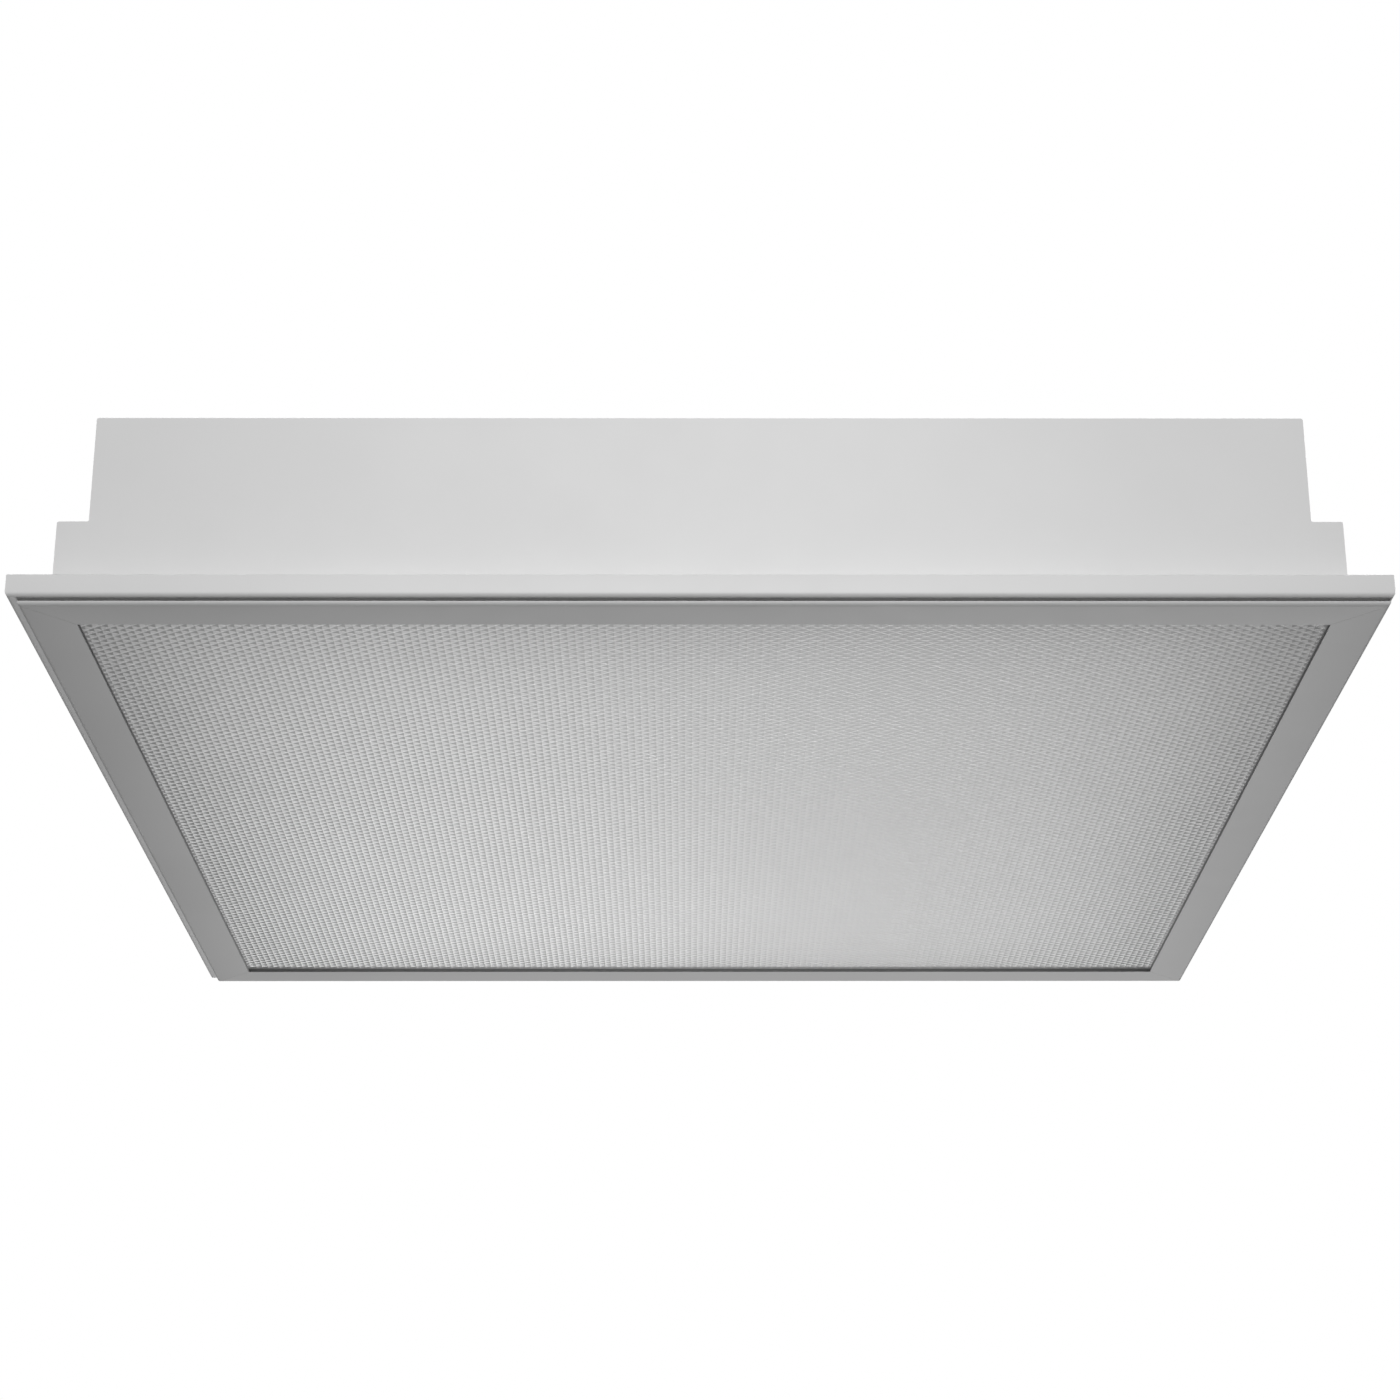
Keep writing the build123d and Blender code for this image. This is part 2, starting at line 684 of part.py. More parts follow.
def make_tray():
    """Flat middle, sloping sides and edge flanges under the step ledges, white below."""
    low_flange = step_underside - tray_sheet
    under = [(tray_flat_half, tray_under), (tray_foot_half, low_flange), (tray_edge, low_flange)]
    lower = [(-x, z) for x, z in reversed(under)] + under
    upper = [(x, z + tray_sheet) for x, z in reversed(lower)]
    tray = along_y(face_of(lower + upper), -tray_length / 2, tray_length / 2)
    cutters = []
    for x, y in driver_screw_places() + clamp_screw_places() + terminal_peg_places():
        cutters.append(rod(screw_radius + hole_gap, x, y, tray_under - past, tray_top + past))
    for x, y in tray_screw_places():
        cutters.append(rod(screw_radius + hole_gap, x, y, low_flange - past, step_underside + past))
    for side, end in clip_places():
        cutters.append(rod(clip_nut_radius + seat_gap, side * clip_x, end * clip_row,
                           low_flange - past, step_underside + past))
    x, y = -stud_side, terminal_centre
    cutters.append(rod(stud_radius + hole_gap, x, y, tray_under - past, tray_top + past))
    x, y = connector_place()
    half_x, half_y = connector_width / 2 + hole_gap, connector_length / 2 + hole_gap
    cutters.append(block(x - half_x, x + half_x, y - half_y, y + half_y, tray_under - past, tray_top + past))
    return tray - cutters


def board_centres():
    """Centre of every light board: four rows of two."""
    first = -(board_rows - 1) / 2 * board_row_pitch
    rows = [first + n * board_row_pitch for n in range(board_rows)]
    offset = (board_length + connector_length) / 2 + board_end_gap
    return [(x, end * offset) for x in rows for end in front_rear]


def make_board(x, y):
    """A light board stuck under the tray."""
    half_w, half_l = board_width / 2, board_length / 2
    return block(x - half_w, x + half_w, y - half_l, y + half_l, tray_under - board_sheet, tray_under)


def make_chips(x, y):
    """The light sources along one board."""
    count = int((board_length - chip_pitch) // chip_pitch) + 1
    top = tray_under - board_sheet
    spots = [y + (n - (count - 1) / 2) * chip_pitch for n in range(count)]
    half = chip_size / 2
    return [block(x - half, x + half, spot - half, spot + half, top - chip_height, top) for spot in spots]


save(make_tray(), "reflector_tray")
for number, (x, y) in enumerate(board_centres(), start=1):
    save(make_board(x, y), "led_board_" + str(number))
save(grouped(chip for x, y in board_centres() for chip in make_chips(x, y)), "led_chips")


# ---- driver --------------------------------------------------------------------------------------
def make_driver_case():
    """Folded steel tube of the driver, open at both ends for its caps."""
    half_l, half_w = driver_length / 2, driver_width / 2
    near, far = driver_centre - half_w, driver_centre + half_w
    case = block(-half_l, half_l, near, far, tray_top, tray_top + driver_height)
    case = fillet(case.edges().filter_by(Axis.X), driver_wall)
    return case - block(-half_l - past, half_l + past, near + driver_wall, far - driver_wall,
                        tray_top + driver_wall, tray_top + driver_height - driver_wall)


def make_driver_cap(side):
    """End cap with a foot for its screw, a plug into the case and two wire mouths."""
    half_l, half_w = driver_length / 2, driver_width / 2
    near, far = driver_centre - half_w, driver_centre + half_w
    x0, x1 = side * half_l, side * (half_l + driver_cap_length)
    cap = block(x0, x1, near, far, tray_top, tray_top + driver_height)
    inner = driver_wall + snug_gap
    cap += block(x0, side * (half_l - driver_cap_plug), near + inner, far - inner, tray_top + inner,
                 tray_top + driver_height - inner)
    foot_near, foot_far = driver_centre - driver_foot_width / 2, driver_centre + driver_foot_width / 2
    foot_top = tray_top + driver_foot_sheet
    cap += block(x1, x1 + side * driver_foot_length, foot_near, foot_far, tray_top, foot_top)
    foot = x1 + side * driver_foot_length / 2
    cap -= rod(screw_radius + hole_gap, foot, driver_centre, tray_top - past, foot_top + past)
    for y in driver_mouths:
        mouth = Rot(0, 90, 0) * Cylinder(wire_mouth_radius, wire_mouth_depth)
        cap -= Pos(x1 - side * wire_mouth_depth / 2, y, driver_mouth_height) * mouth
    return cap


save(make_driver_case(), "driver_case")
save(make_driver_cap(-1), "driver_cap_mains")
save(make_driver_cap(1), "driver_cap_output")


# ---- mains terminal, cord clamp and earth --------------------------------------------------------
def button_pocket(x):
    """The shaft in the terminal block that a button slides in."""
    half_w, half_d = button_width / 2 + button_gap, button_depth / 2 + button_gap
    floor = terminal_top + button_proud - button_height - button_travel - seat_gap
    return block(x - half_w, x + half_w, terminal_centre - half_d, terminal_centre + half_d,
                 floor, terminal_top + past)


def make_terminal_block():
    """Three-pole push-in terminal with a foot peg at each end and a mouth for each lead."""
    half_l = terminal_length / 2
    rear = terminal_centre + terminal_depth / 2
    body = block(-half_l, half_l, terminal_front, rear, tray_top, terminal_top)
    for x, y in terminal_peg_places():
        reach = terminal_foot_length / 2
        half_w = terminal_foot_width / 2
        body += block(x - reach, x + reach, y - half_w, y + half_w, tray_top, tray_top + terminal_foot_height)
        body += rod(screw_radius, x, y, tray_under, tray_top + past)
    for x in pole_spots:
        body -= button_pocket(x)
        for start, inward in ((terminal_front, 1), (rear, -1)):
            y0, y1 = start - inward * past, start + inward * wire_mouth_depth / 2
            body -= rod_y(wire_mouth_radius, x, mouth_height, min(y0, y1), max(y0, y1))
    return body


def make_button(x):
    """A push button that opens one pole's spring."""
    top = terminal_top + button_proud
    half_w, half_d = button_width / 2, button_depth / 2
    button = block(x - half_w, x + half_w, terminal_centre - half_d, terminal_centre + half_d,
                   top - button_height, top)
    return fillet(button.faces().sort_by(Axis.Z)[-1].edges(), 0.5)


def clamp_half(low, high):
    """One half of the cord clamp: a bar with its screw holes and half of the cable's round way."""
    half_l, half_w = clamp_length / 2, clamp_width / 2
    x, y = cable_side, cable_clamp_row
    bar = block(x - half_l, x + half_l, y - half_w, y + half_w, low, high)
    bar -= rod_y(cable_radius, x, clamp_split, y - half_w - past, y + half_w + past)
    return bar - [rod(screw_radius + hole_gap, sx, sy, low - past, high + past)
                  for sx, sy in clamp_screw_places()]


def make_earth_stud():
    """Threaded stud through the tray with a flange, a washer and two nuts."""
    x, y = -stud_side, terminal_centre
    stud = rod(stud_radius, x, y, tray_under - washer_height, tray_under + stud_length)
    stud += rod(washer_radius, x, y, tray_under - washer_height, tray_under)
    return stud


def make_earth_fittings():
    """On the stud: nut, washer, the earth lead's ring terminal with its tongue, and a second nut."""
    x, y = -stud_side, terminal_centre
    hole = rod(stud_radius, x, y, tray_under, tray_under + stud_length + past)
    low = tray_top + nut_height
    washer = rod(washer_radius, x, y, low, low + washer_height)
    low, high = low + washer_height, low + washer_height + ring_height
    ring = rod(washer_radius, x, y, low, high)
    half = ring_tongue_width / 2
    ring += block(x - half, x + half, y - washer_radius - ring_tongue_length, y - stud_radius, low, high)
    return [nut(x, y, tray_top), washer - hole, ring - hole, nut(x, y, high)]


save(make_terminal_block(), "terminal_block")
for name, x in zip(("live", "neutral", "earth"), pole_spots):
    save(make_button(x), "terminal_button_" + name)
save(clamp_half(tray_top, clamp_split), "cord_clamp_base")
save(clamp_half(clamp_split, clamp_top), "cord_clamp_bar")
clamp_shank = clamp_top - tray_under
clamp_screws = [Pos(x, y, clamp_top) * screw(clamp_shank) for x, y in clamp_screw_places()]
save(grouped(clamp_screws), "cord_clamp_screws")
save(grouped([make_earth_stud()] + make_earth_fittings()), "earth_terminal")


# ---- inner leads ---------------------------------------------------------------------------------
def turn_radii(points):
    """Arc at each corner of a route: 0.45 of the shorter run, over the tangent of half the turn."""
    radii = []
    for before, here, after in zip(points, points[1:], points[2:]):
        run_in, run_out = Vector(*here) - Vector(*before), Vector(*after) - Vector(*here)
        half_turn = run_in.get_angle(run_out) / 2
        radii.append(0.45 * min(run_in.length, run_out.length) / tan(radians(half_turn)))
    return radii


def make_lead(points):
    """An insulated lead: straight runs joined by tangent arcs."""
    path = FilletPolyline(*points, radius=turn_radii(points))
    start = Plane(origin=path @ 0, z_dir=path % 0)
    return sweep(start * Circle(lead_radius), path=path)


def mains_route(x, mouth, outward):
    """From a pole's mouth, along the tray to the left, and round into the driver's mains cap."""
    z, high, u = mouth_height, driver_mouth_height, lead_unit
    y0 = terminal_front + wire_mouth_depth / 2
    cap = -(driver_length / 2 + driver_cap_length)
    y_cap = driver_mouths[mouth]
    return [(x, y0, z), (x, y0 - 1.8 * u, z), (x - 1.6 * u, y0 - 3.4 * u + outward, z),
            (x - 6.0 * u, y0 - 3.8 * u + outward, z), (x - 10.4 * u, y0 - 3.6 * u + outward, z),
            (cap - 1.6 * u - outward, driver_centre + 4.2 * u + outward, z + 0.1 * u),
            (cap - 3.0 * u - 1.5 * outward, driver_centre + 2.0 * u, high - 0.1 * u),
            (cap - 2.0 * u - outward, y_cap, high), (cap + wire_mouth_depth, y_cap, high)]


def earth_route():
    """From the earth pole round to the ring terminal's tongue on the earth stud."""
    z, u = mouth_height, lead_unit
    x, y0 = pole_spots[2], terminal_front + wire_mouth_depth / 2
    ring = tray_top + nut_height + washer_height + ring_height / 2
    y_end = terminal_centre - washer_radius - ring_tongue_length
    return [(x, y0, z), (x, y0 - 1.3 * u, z), (x - 1.4 * u, y0 - 2.5 * u, z + 0.5 * u),
            (x - 3.4 * u, y0 - 2.9 * u, z + 0.8 * u), (-stud_side + 0.6 * u, y0 - 2.7 * u, z + 0.5 * u),
            (-stud_side, y_end - 0.9 * u, ring), (-stud_side, y_end, ring)]


def output_route(mouth, side):
    """From the driver's output cap round to the connector in the tray."""
    cap, u = driver_length / 2 + driver_cap_length, lead_unit
    y_cap, high = driver_mouths[mouth], driver_mouth_height
    x1, y1 = connector_place()
    x_in = x1 + side * connector_mouth_pitch / 2
    x_out = cap + 2.2 * u
    rise = high + (0.2 + 0.15 * side) * u
    top = tray_top + connector_height
    return [(cap - wire_mouth_depth, y_cap, high), (cap + u, y_cap, high), (x_out, y_cap - 0.8 * u, rise),
            ((x_in + x_out) / 2, y_cap - 2.4 * u, rise + 0.3 * u),
            (x_in + 0.1 * u, y1 + 1.2 * u, top + (0.7 + 0.15 * side) * u),
            (x_in, y1 + 0.1 * u, top + 0.5 * u), (x_in, y1, top - wire_mouth_depth / 3)]


def make_connector():
    """The plug-through connector that feeds the light boards, seated in the tray's slot."""
    x, y = connector_place()
    half_w, half_l = connector_width / 2, connector_length / 2
    low, high = tray_under - board_sheet, tray_top + connector_height
    body = block(x - half_w, x + half_w, y - half_l, y + half_l, low, high)
    collar_w, collar_l = half_w + connector_collar, half_l + connector_collar
    body += block(x - collar_w, x + collar_w, y - collar_l, y + collar_l,
                  tray_top, tray_top + connector_collar)
    for side in (-1, 1):
        mouth_x = x + side * connector_mouth_pitch / 2
        body -= rod(wire_mouth_radius, mouth_x, y, high - connector_mouth_depth, high + past)
    return body


save(make_lead(mains_route(pole_spots[0], 0, lead_spacing)), "lead_live")
save(make_lead(mains_route(pole_spots[1], 1, 0)), "lead_neutral")
save(make_lead(earth_route()), "lead_earth")
save(make_lead(output_route(0, -1)), "lead_output_plus")
save(make_lead(output_route(1, 1)), "lead_output_minus")
save(make_connector(), "board_connector")


# ---- top: wiring cover, grommet, suspension nuts -------------------------------------------------
def make_cover():
    """Flat plate over the wiring hatch, with a shallow lip folded down into it."""
    half_l, half_w = hatch_length / 2, hatch_width / 2
    y = terminal_centre
    cover = block(-half_l - hatch_lap, half_l + hatch_lap, y - half_w - hatch_lap, y + half_w + hatch_lap,
                  top_z, top_z + cover_sheet)
    cover = fillet(cover.edges().filter_by(Axis.Z), cover_corner_radius)
    rim_end = top_z - cover_rim_depth
    rim = block(-half_l + seat_gap, half_l - seat_gap, y - half_w + seat_gap, y + half_w - seat_gap,
                rim_end, top_z)
    wall = seat_gap + cover_sheet
    rim -= block(-half_l + wall, half_l - wall, y - half_w + wall, y + half_w - wall, rim_end - past, top_z)
    cover += rim
    return cover - [rod(screw_radius + hole_gap, sx, sy, top_z - past, top_z + cover_sheet + past)
                    for sx, sy in cover_screw_places()]


def make_grommet():
    """Rubber ring clipped into the top, bored for the mains cable."""
    x, y = cable_side, cable_entry_row
    low, high = top_underside - grommet_flange_height, top_z + grommet_flange_height
    ring = rod(grommet_neck_radius, x, y, low, high)
    ring += rod(grommet_flange_radius, x, y, top_z, high)
    ring += rod(grommet_flange_radius, x, y, low, top_underside)
    return ring - rod(grommet_bore_radius, x, y, low - past, high + past)


def make_hanger_nut(x, y):
    """Rivet nut for a suspension rod: flange on the top, threaded barrel below."""
    barrel = rod(hanger_barrel_radius, x, y, top_z - hanger_barrel_length, top_z)
    barrel += rod(hanger_flange_radius, x, y, top_z, top_z + hanger_flange_height)
    swell_end = top_underside - hanger_swell_length
    barrel += rod(hanger_barrel_radius + hanger_swell, x, y, swell_end, top_underside)
    low, high = top_z - hanger_barrel_length - past, top_z + hanger_flange_height + past
    return barrel - rod(hanger_thread_radius, x, y, low, high)


save(make_cover(), "wiring_cover")
save(make_grommet(), "cable_grommet")
save(grouped(make_hanger_nut(x, y) for x, y in hanger_places()), "suspension_nuts")


# ---- pan head screws -----------------------------------------------------------------------------
def make_pan_head_screws():
    """The screws of the tray, of the driver's feet and of the wiring cover: all one size."""
    under_step = step_underside - tray_sheet
    screws = [Pos(x, y, under_step) * Rot(180, 0, 0) * screw(screw_length) for x, y in tray_screw_places()]
    on_foot = tray_top + driver_foot_sheet
    screws += [Pos(x, y, on_foot) * screw(screw_length) for x, y in driver_screw_places()]
    on_cover = top_z + cover_sheet
    return screws + [Pos(x, y, on_cover) * screw(screw_length) for x, y in cover_screw_places()]


save(grouped(make_pan_head_screws()), "pan_head_screws")


# ---- swing-out hold-down clips -------------------------------------------------------------------
def make_hold_down_clip(side, end):
    """A flat finger lying along the step, with a raised toe to push it out by."""
    x, y = side * clip_x, end * clip_row
    half = clip_width / 2
    low, high = step_top, step_top + clip_sheet
    tip = y + end * clip_reach
    finger = rod(half, x, y, low, high) + block(x - half, x + half, y, tip, low, high)
    finger += block(x - half, x + half, tip - end * clip_sheet, tip, low, high + clip_toe_height)
    return finger - rod(clip_pivot_radius + running_gap, x, y, low - past, high + past)


def make_clip_pivot(side, end):
    """Shoulder screw of a clip, with its nut plate under the ledge."""
    x, y = side * clip_x, end * clip_row
    shoulder = clip_sheet + clip_slack
    nut_low = step_underside - clip_nut_height
    pivot = Pos(x, y, step_top + shoulder) * screw(shoulder, 2 * clip_pivot_radius, clip_pivot_radius)
    pivot += rod(clip_thread_radius, x, y, nut_low - clip_thread_end, step_top)
    return pivot + rod(clip_nut_radius, x, y, nut_low, step_underside)


for side, end in clip_places():
    node = "hold_down_clip_" + ("left" if side < 0 else "right") + ("_front" if end < 0 else "_rear")
    save(make_hold_down_clip(side, end), node)
save(grouped(make_clip_pivot(side, end) for side, end in clip_places()), "clip_pivot_screws")
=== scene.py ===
"""Looks of a recessed ceiling light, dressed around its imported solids.

Lengths are metres in the light's own frame: +Z is up into the ceiling, -Y is the side nearest
the viewer and +X is the side with the door's hinges. The origin is the middle of the flange's
outline, on the plane of the closed door's lower face.
"""
from __future__ import annotations

import logging
import math
from dataclasses import dataclass
from enum import Enum
from typing import Sequence, Union

import bmesh
import bpy
import numpy as np
from mathutils import Matrix, Vector


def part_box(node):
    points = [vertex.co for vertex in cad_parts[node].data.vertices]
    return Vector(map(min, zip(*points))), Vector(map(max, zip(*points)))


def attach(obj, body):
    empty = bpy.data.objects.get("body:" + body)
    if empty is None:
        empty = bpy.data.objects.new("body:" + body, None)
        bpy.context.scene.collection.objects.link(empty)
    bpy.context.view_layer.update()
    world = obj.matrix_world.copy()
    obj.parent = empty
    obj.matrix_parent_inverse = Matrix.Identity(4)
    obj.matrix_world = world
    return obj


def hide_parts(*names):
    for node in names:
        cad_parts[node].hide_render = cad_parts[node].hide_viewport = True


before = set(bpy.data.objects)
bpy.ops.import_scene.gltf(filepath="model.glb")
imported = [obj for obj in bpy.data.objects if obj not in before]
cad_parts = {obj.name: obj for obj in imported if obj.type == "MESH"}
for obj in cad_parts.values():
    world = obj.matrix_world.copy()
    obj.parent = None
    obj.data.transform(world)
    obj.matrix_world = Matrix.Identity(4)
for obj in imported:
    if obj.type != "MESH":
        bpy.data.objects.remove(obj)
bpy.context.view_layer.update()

MM = 0.001
log = logging.getLogger("troffer")

Number = Union[float, "Value"]
Colour = tuple[float, float, float]


# ---- shader expressions ---------------------------------------------------------------------------
class Value:
    """A node socket that carries one number; arithmetic on it adds Math nodes."""

    def __init__(self, shader: Shader, socket: bpy.types.NodeSocket) -> None:
        """Wraps one output socket.

        Args:
            shader: The material that the socket belongs to.
            socket: The output socket.
        """
        self.shader = shader
        self.socket = socket

    def math(self, operation: str, *operands: Number) -> Value:
        """Adds one Math node.

        Args:
            operation: The node's operation, such as "ADD".
            operands: The numbers or values in its sockets, in order.

        Returns:
            The node's result.
        """
        node = self.shader.node("ShaderNodeMath", {"operation": operation}, dict(enumerate(operands)))
        return Value(self.shader, node.outputs[0])

    def __add__(self, other: Number) -> Value:
        """self + other."""
        return self.math("ADD", self, other)

    __radd__ = __add__

    def __sub__(self, other: Number) -> Value:
        """self - other."""
        return self.math("SUBTRACT", self, other)

    def __rsub__(self, other: Number) -> Value:
        """other - self."""
        return self.math("SUBTRACT", other, self)

    def __mul__(self, other: Number) -> Value:
        """self * other."""
        return self.math("MULTIPLY", self, other)

    __rmul__ = __mul__

    def __truediv__(self, other: Number) -> Value:
        """self / other."""
        return self.math("DIVIDE", self, other)

    def __rpow__(self, base: Number) -> Value:
        """base ** self."""
        return self.math("POWER", base, self)

    def __abs__(self) -> Value:
        """The value without its sign."""
        return self.math("ABSOLUTE", self)

    def greater(self, other: Number) -> Value:
        """The greater of the two."""
        return self.math("MAXIMUM", self, other)

    def clamped(self) -> Value:
        """The value held between 0 and 1."""
        return self.math("MINIMUM", self.greater(0.0), 1.0)

    def zigzag(self) -> Value:
        """A triangle wave: 0 at every even number and 1 at every odd one."""
        return self.math("PINGPONG", self, 1.0)

    def step_up(self, low: float, high: float) -> Value:
        """A soft step that rises from 0 at low to 1 at high."""
        node = self.shader.node(
            "ShaderNodeMapRange",
            {"interpolation_type": "SMOOTHSTEP"},
            {"Value": self, "From Min": low, "From Max": high},
        )
        return Value(self.shader, node.outputs["Result"])


class Shader:
    """The node tree of one material, or of the world."""

    def __init__(self, name: str, world: bpy.types.World | None = None) -> None:
        """Starts an empty tree.

        Args:
            name: The material's name.
            world: The world that the tree belongs to, instead of a new material.
        """
        self.material = world or bpy.data.materials.new(name)
        self.material.use_nodes = True
        self.tree = self.material.node_tree
        self.tree.nodes.clear()

    def node(self, kind: str, settings: dict | None = None, inputs: dict | None = None) -> bpy.types.Node:
        """Adds a node of any type.

        Args:
            kind: The node's type name.
            settings: Properties set first.
            inputs: Socket name or number to a number, a tuple, a socket or a Value.

        Returns:
            The new node.
        """
        node = self.tree.nodes.new(kind)
        for name, setting in (settings or {}).items():
            setattr(node, name, setting)
        for name, given in (inputs or {}).items():
            self.feed(node.inputs[name], given)
        return node

    def feed(self, socket: bpy.types.NodeSocket, given: object) -> None:
        """Links a Value or a socket to an input, or sets the input to a number or tuple."""
        if isinstance(given, Value):
            self.tree.links.new(given.socket, socket)
        elif isinstance(given, bpy.types.NodeSocket):
            self.tree.links.new(given, socket)
        else:
            socket.default_value = given

    def place(self, turn: tuple[float, float, float] = (0.0, 0.0, 0.0)) -> bpy.types.NodeSocket:
        """Object coordinates, turned by the given angles in degrees."""
        coords = self.node("ShaderNodeTexCoord").outputs["Object"]
        turned = {"Vector": coords, "Rotation": tuple(math.radians(a) for a in turn)}
        return self.node("ShaderNodeMapping", {}, turned).outputs["Vector"]

    def axes(self) -> tuple[Value, Value, Value]:
        """The object coordinates as three values, in metres."""
        parts = self.node("ShaderNodeSeparateXYZ", {}, {0: self.place()})
        return tuple(Value(self, socket) for socket in parts.outputs)

    def noise(self, scale: float, detail: float = 2.0,
              stretch: tuple[float, float, float] = (1, 1, 1)) -> Value:
        """Noise on object coordinates.

        Args:
            scale: Spots for each metre.
            detail: Octaves of finer noise.
            stretch: Factor on each axis; a small one draws the spots out along it.

        Returns:
            The noise, from 0 to 1 about 0.5.
        """
        place = self.node("ShaderNodeMapping", {}, {"Vector": self.place(), "Scale": stretch})
        inputs = {"Vector": place.outputs[0], "Scale": scale, "Detail": detail}
        return Value(self, self.node("ShaderNodeTexNoise", {}, inputs).outputs[0])

    def cells(self, scale: float) -> Value:
        """Distance to the nearest of many scattered points, from 0 up."""
        inputs = {"Vector": self.place(), "Scale": scale}
        return Value(self, self.node("ShaderNodeTexVoronoi", {}, inputs).outputs["Distance"])

    def blend(self, factor: Number, first: Colour | bpy.types.NodeSocket,
              second: Colour | bpy.types.NodeSocket) -> bpy.types.NodeSocket:
        """Mixes two colours.

        Args:
            factor: 0 gives the first colour and 1 the second.
            first: A colour, or a colour socket.
            second: A colour, or a colour socket.

        Returns:
            The mixed colour's socket.
        """
        node = self.node("ShaderNodeMix", {"data_type": "RGBA"})
        factor_input, first_input, second_input = node.inputs[0], node.inputs[6], node.inputs[7]
        self.feed(factor_input, factor)
        for socket, colour in ((first_input, first), (second_input, second)):
            self.feed(socket, (*colour, 1.0) if isinstance(colour, tuple) else colour)
        return node.outputs[2]

    def bump(self, height: Value, depth: float) -> bpy.types.NodeSocket:
        """A normal raised by a height of 0 to 1 over the given depth in metres."""
        node = self.node("ShaderNodeBump", {}, {"Height": height, "Distance": depth, "Strength": 1.0})
        return node.outputs["Normal"]

    def finish(self, **inputs: object) -> bpy.types.Material:
        """Ends the tree in a Principled shader.

        Args:
            inputs: Socket names with underscores for spaces, and their numbers, colours or links.

        Returns:
            The finished material.
        """
        sockets = {}
        for name, given in inputs.items():
            label = " ".join(word if word == "IOR" else word.capitalize() for word in name.split("_"))
            is_colour = isinstance(given, tuple) and len(given) == 3
            sockets[label] = (*given, 1.0) if is_colour else given
        principled = self.node("ShaderNodeBsdfPrincipled", {}, sockets)
        output = self.node("ShaderNodeOutputMaterial")
        self.tree.links.new(principled.outputs[0], output.inputs[0])
        return self.material


# ---- finishes --------------------------------------------------------------------------------------
@dataclass(frozen=True)
class PowderCoat:
    """White powder coat: a fine orange-peel skin with a breath of cloudiness."""

    name: str
    colour: Colour = (0.80, 0.80, 0.80)
    roughness: float = 0.38
    peel_depth: float = 0.02 * MM
    peel_scale: float = 700.0
    edge_middle: float = 0.0
    edge_half: float = 0.0

    def build(self) -> bpy.types.Material:
        """Makes the material; the walls of a square opening, where it has one, are darkened as painted
        shade.
        """
        s = Shader(self.name)
        cloud = s.noise(9.0, 3.0)
        dark = tuple(channel * 0.97 for channel in self.colour)
        colour = s.blend(cloud.step_up(0.35, 0.65), dark, self.colour)
        if self.edge_half:
            x, y, _ = s.axes()
            out = abs(x - self.edge_middle).greater(abs(y))
            # Painted shade: the opening's inner walls are darkened to stand for the shade in the recess
            # between panel and rail.
            painted_shade = tuple(channel * 0.66 for channel in self.colour)
            colour = s.blend(out.step_up(self.edge_half, self.edge_half + 0.25 * MM), painted_shade, colour)
        rough = self.roughness + (s.noise(60.0, 2.0) - 0.5) * 0.08
        peel = s.noise(self.peel_scale, 2.0)
        return s.finish(Base_Color=colour, Roughness=rough, Normal=s.bump(peel, self.peel_depth))


@dataclass(frozen=True)
class PressedPrism:
    """Milky acrylic of the panel, deep in the middle: painted shade darkens it towards the compartment's
    walls, and its lower side has a painted glow.
    """

    name: str
    centre: tuple[float, float]
    half: float
    colour: Colour = (0.86, 0.86, 0.86)
    shade: Colour = (0.30, 0.30, 0.30)
    back: Colour = (0.62, 0.62, 0.62)
    back_height: float = 4 * MM
    back_dullness: float = 0.38
    side_depth: float = 0.90
    side_reach: float = 82 * MM
    end_depth: float = 0.50
    end_reach: float = 38 * MM
    # Strength of the painted glow: the panel's lower side emits light though it is no lamp.
    glow: float = 0.25
    roughness: float = 0.32
    index: float = 1.75
    corner: tuple[float, float] = (0.0, 0.0)
    steps: tuple[float, float] = (1.0, 1.0)
    crispness: float = 0.5 * MM

    def facets(self, x: Value, y: Value) -> Value:
        """Height of the prisms: one less the greater of two zigzags, each across one family of grooves."""
        column, row = (x - self.corner[0]) / self.steps[0], (y - self.corner[1]) / self.steps[1]
        return 1.0 - (column + row).zigzag().greater((column - row).zigzag())

    def rim(self, across: Value, middle: float, depth: float, reach: float) -> Value:
        """Shade that dies away exponentially with the distance from two opposite edges."""
        inward = self.half - abs(across - middle)
        return depth * (math.e ** (inward * (-1.0 / reach)))

    def build(self) -> bpy.types.Material:
        """Makes the material."""
        s = Shader(self.name)
        x, y, z = s.axes()
        behind = z.step_up(self.back_height - 0.5 * MM, self.back_height)
        # Painted shade: the colour darkens towards the side and end edges, as if the compartment's walls
        # shaded them.
        side = self.rim(x, self.centre[0], self.side_depth, self.side_reach)
        end = self.rim(y, self.centre[1], self.end_depth, self.end_reach)
        shaded = side + end - side * end
        cloud = (s.noise(14.0, 3.0) - 0.5) * 0.06
        front = s.blend((shaded + cloud).clamped(), self.colour, self.shade)
        colour = s.blend(behind, front, self.back)
        # Painted glow: the lower side emits by the same painted-shade map.
        glow = s.blend(behind, front, (0.0, 0.0, 0.0))
        rough = self.roughness + (s.noise(400.0, 1.0) - 0.5) * 0.04 + behind * self.back_dullness
        facing = s.bump(self.facets(x, y) * (1.0 - behind), self.crispness)
        return s.finish(Base_Color=colour, Roughness=rough, IOR=self.index, Normal=facing,
                        Emission_Color=glow, Emission_Strength=self.glow)


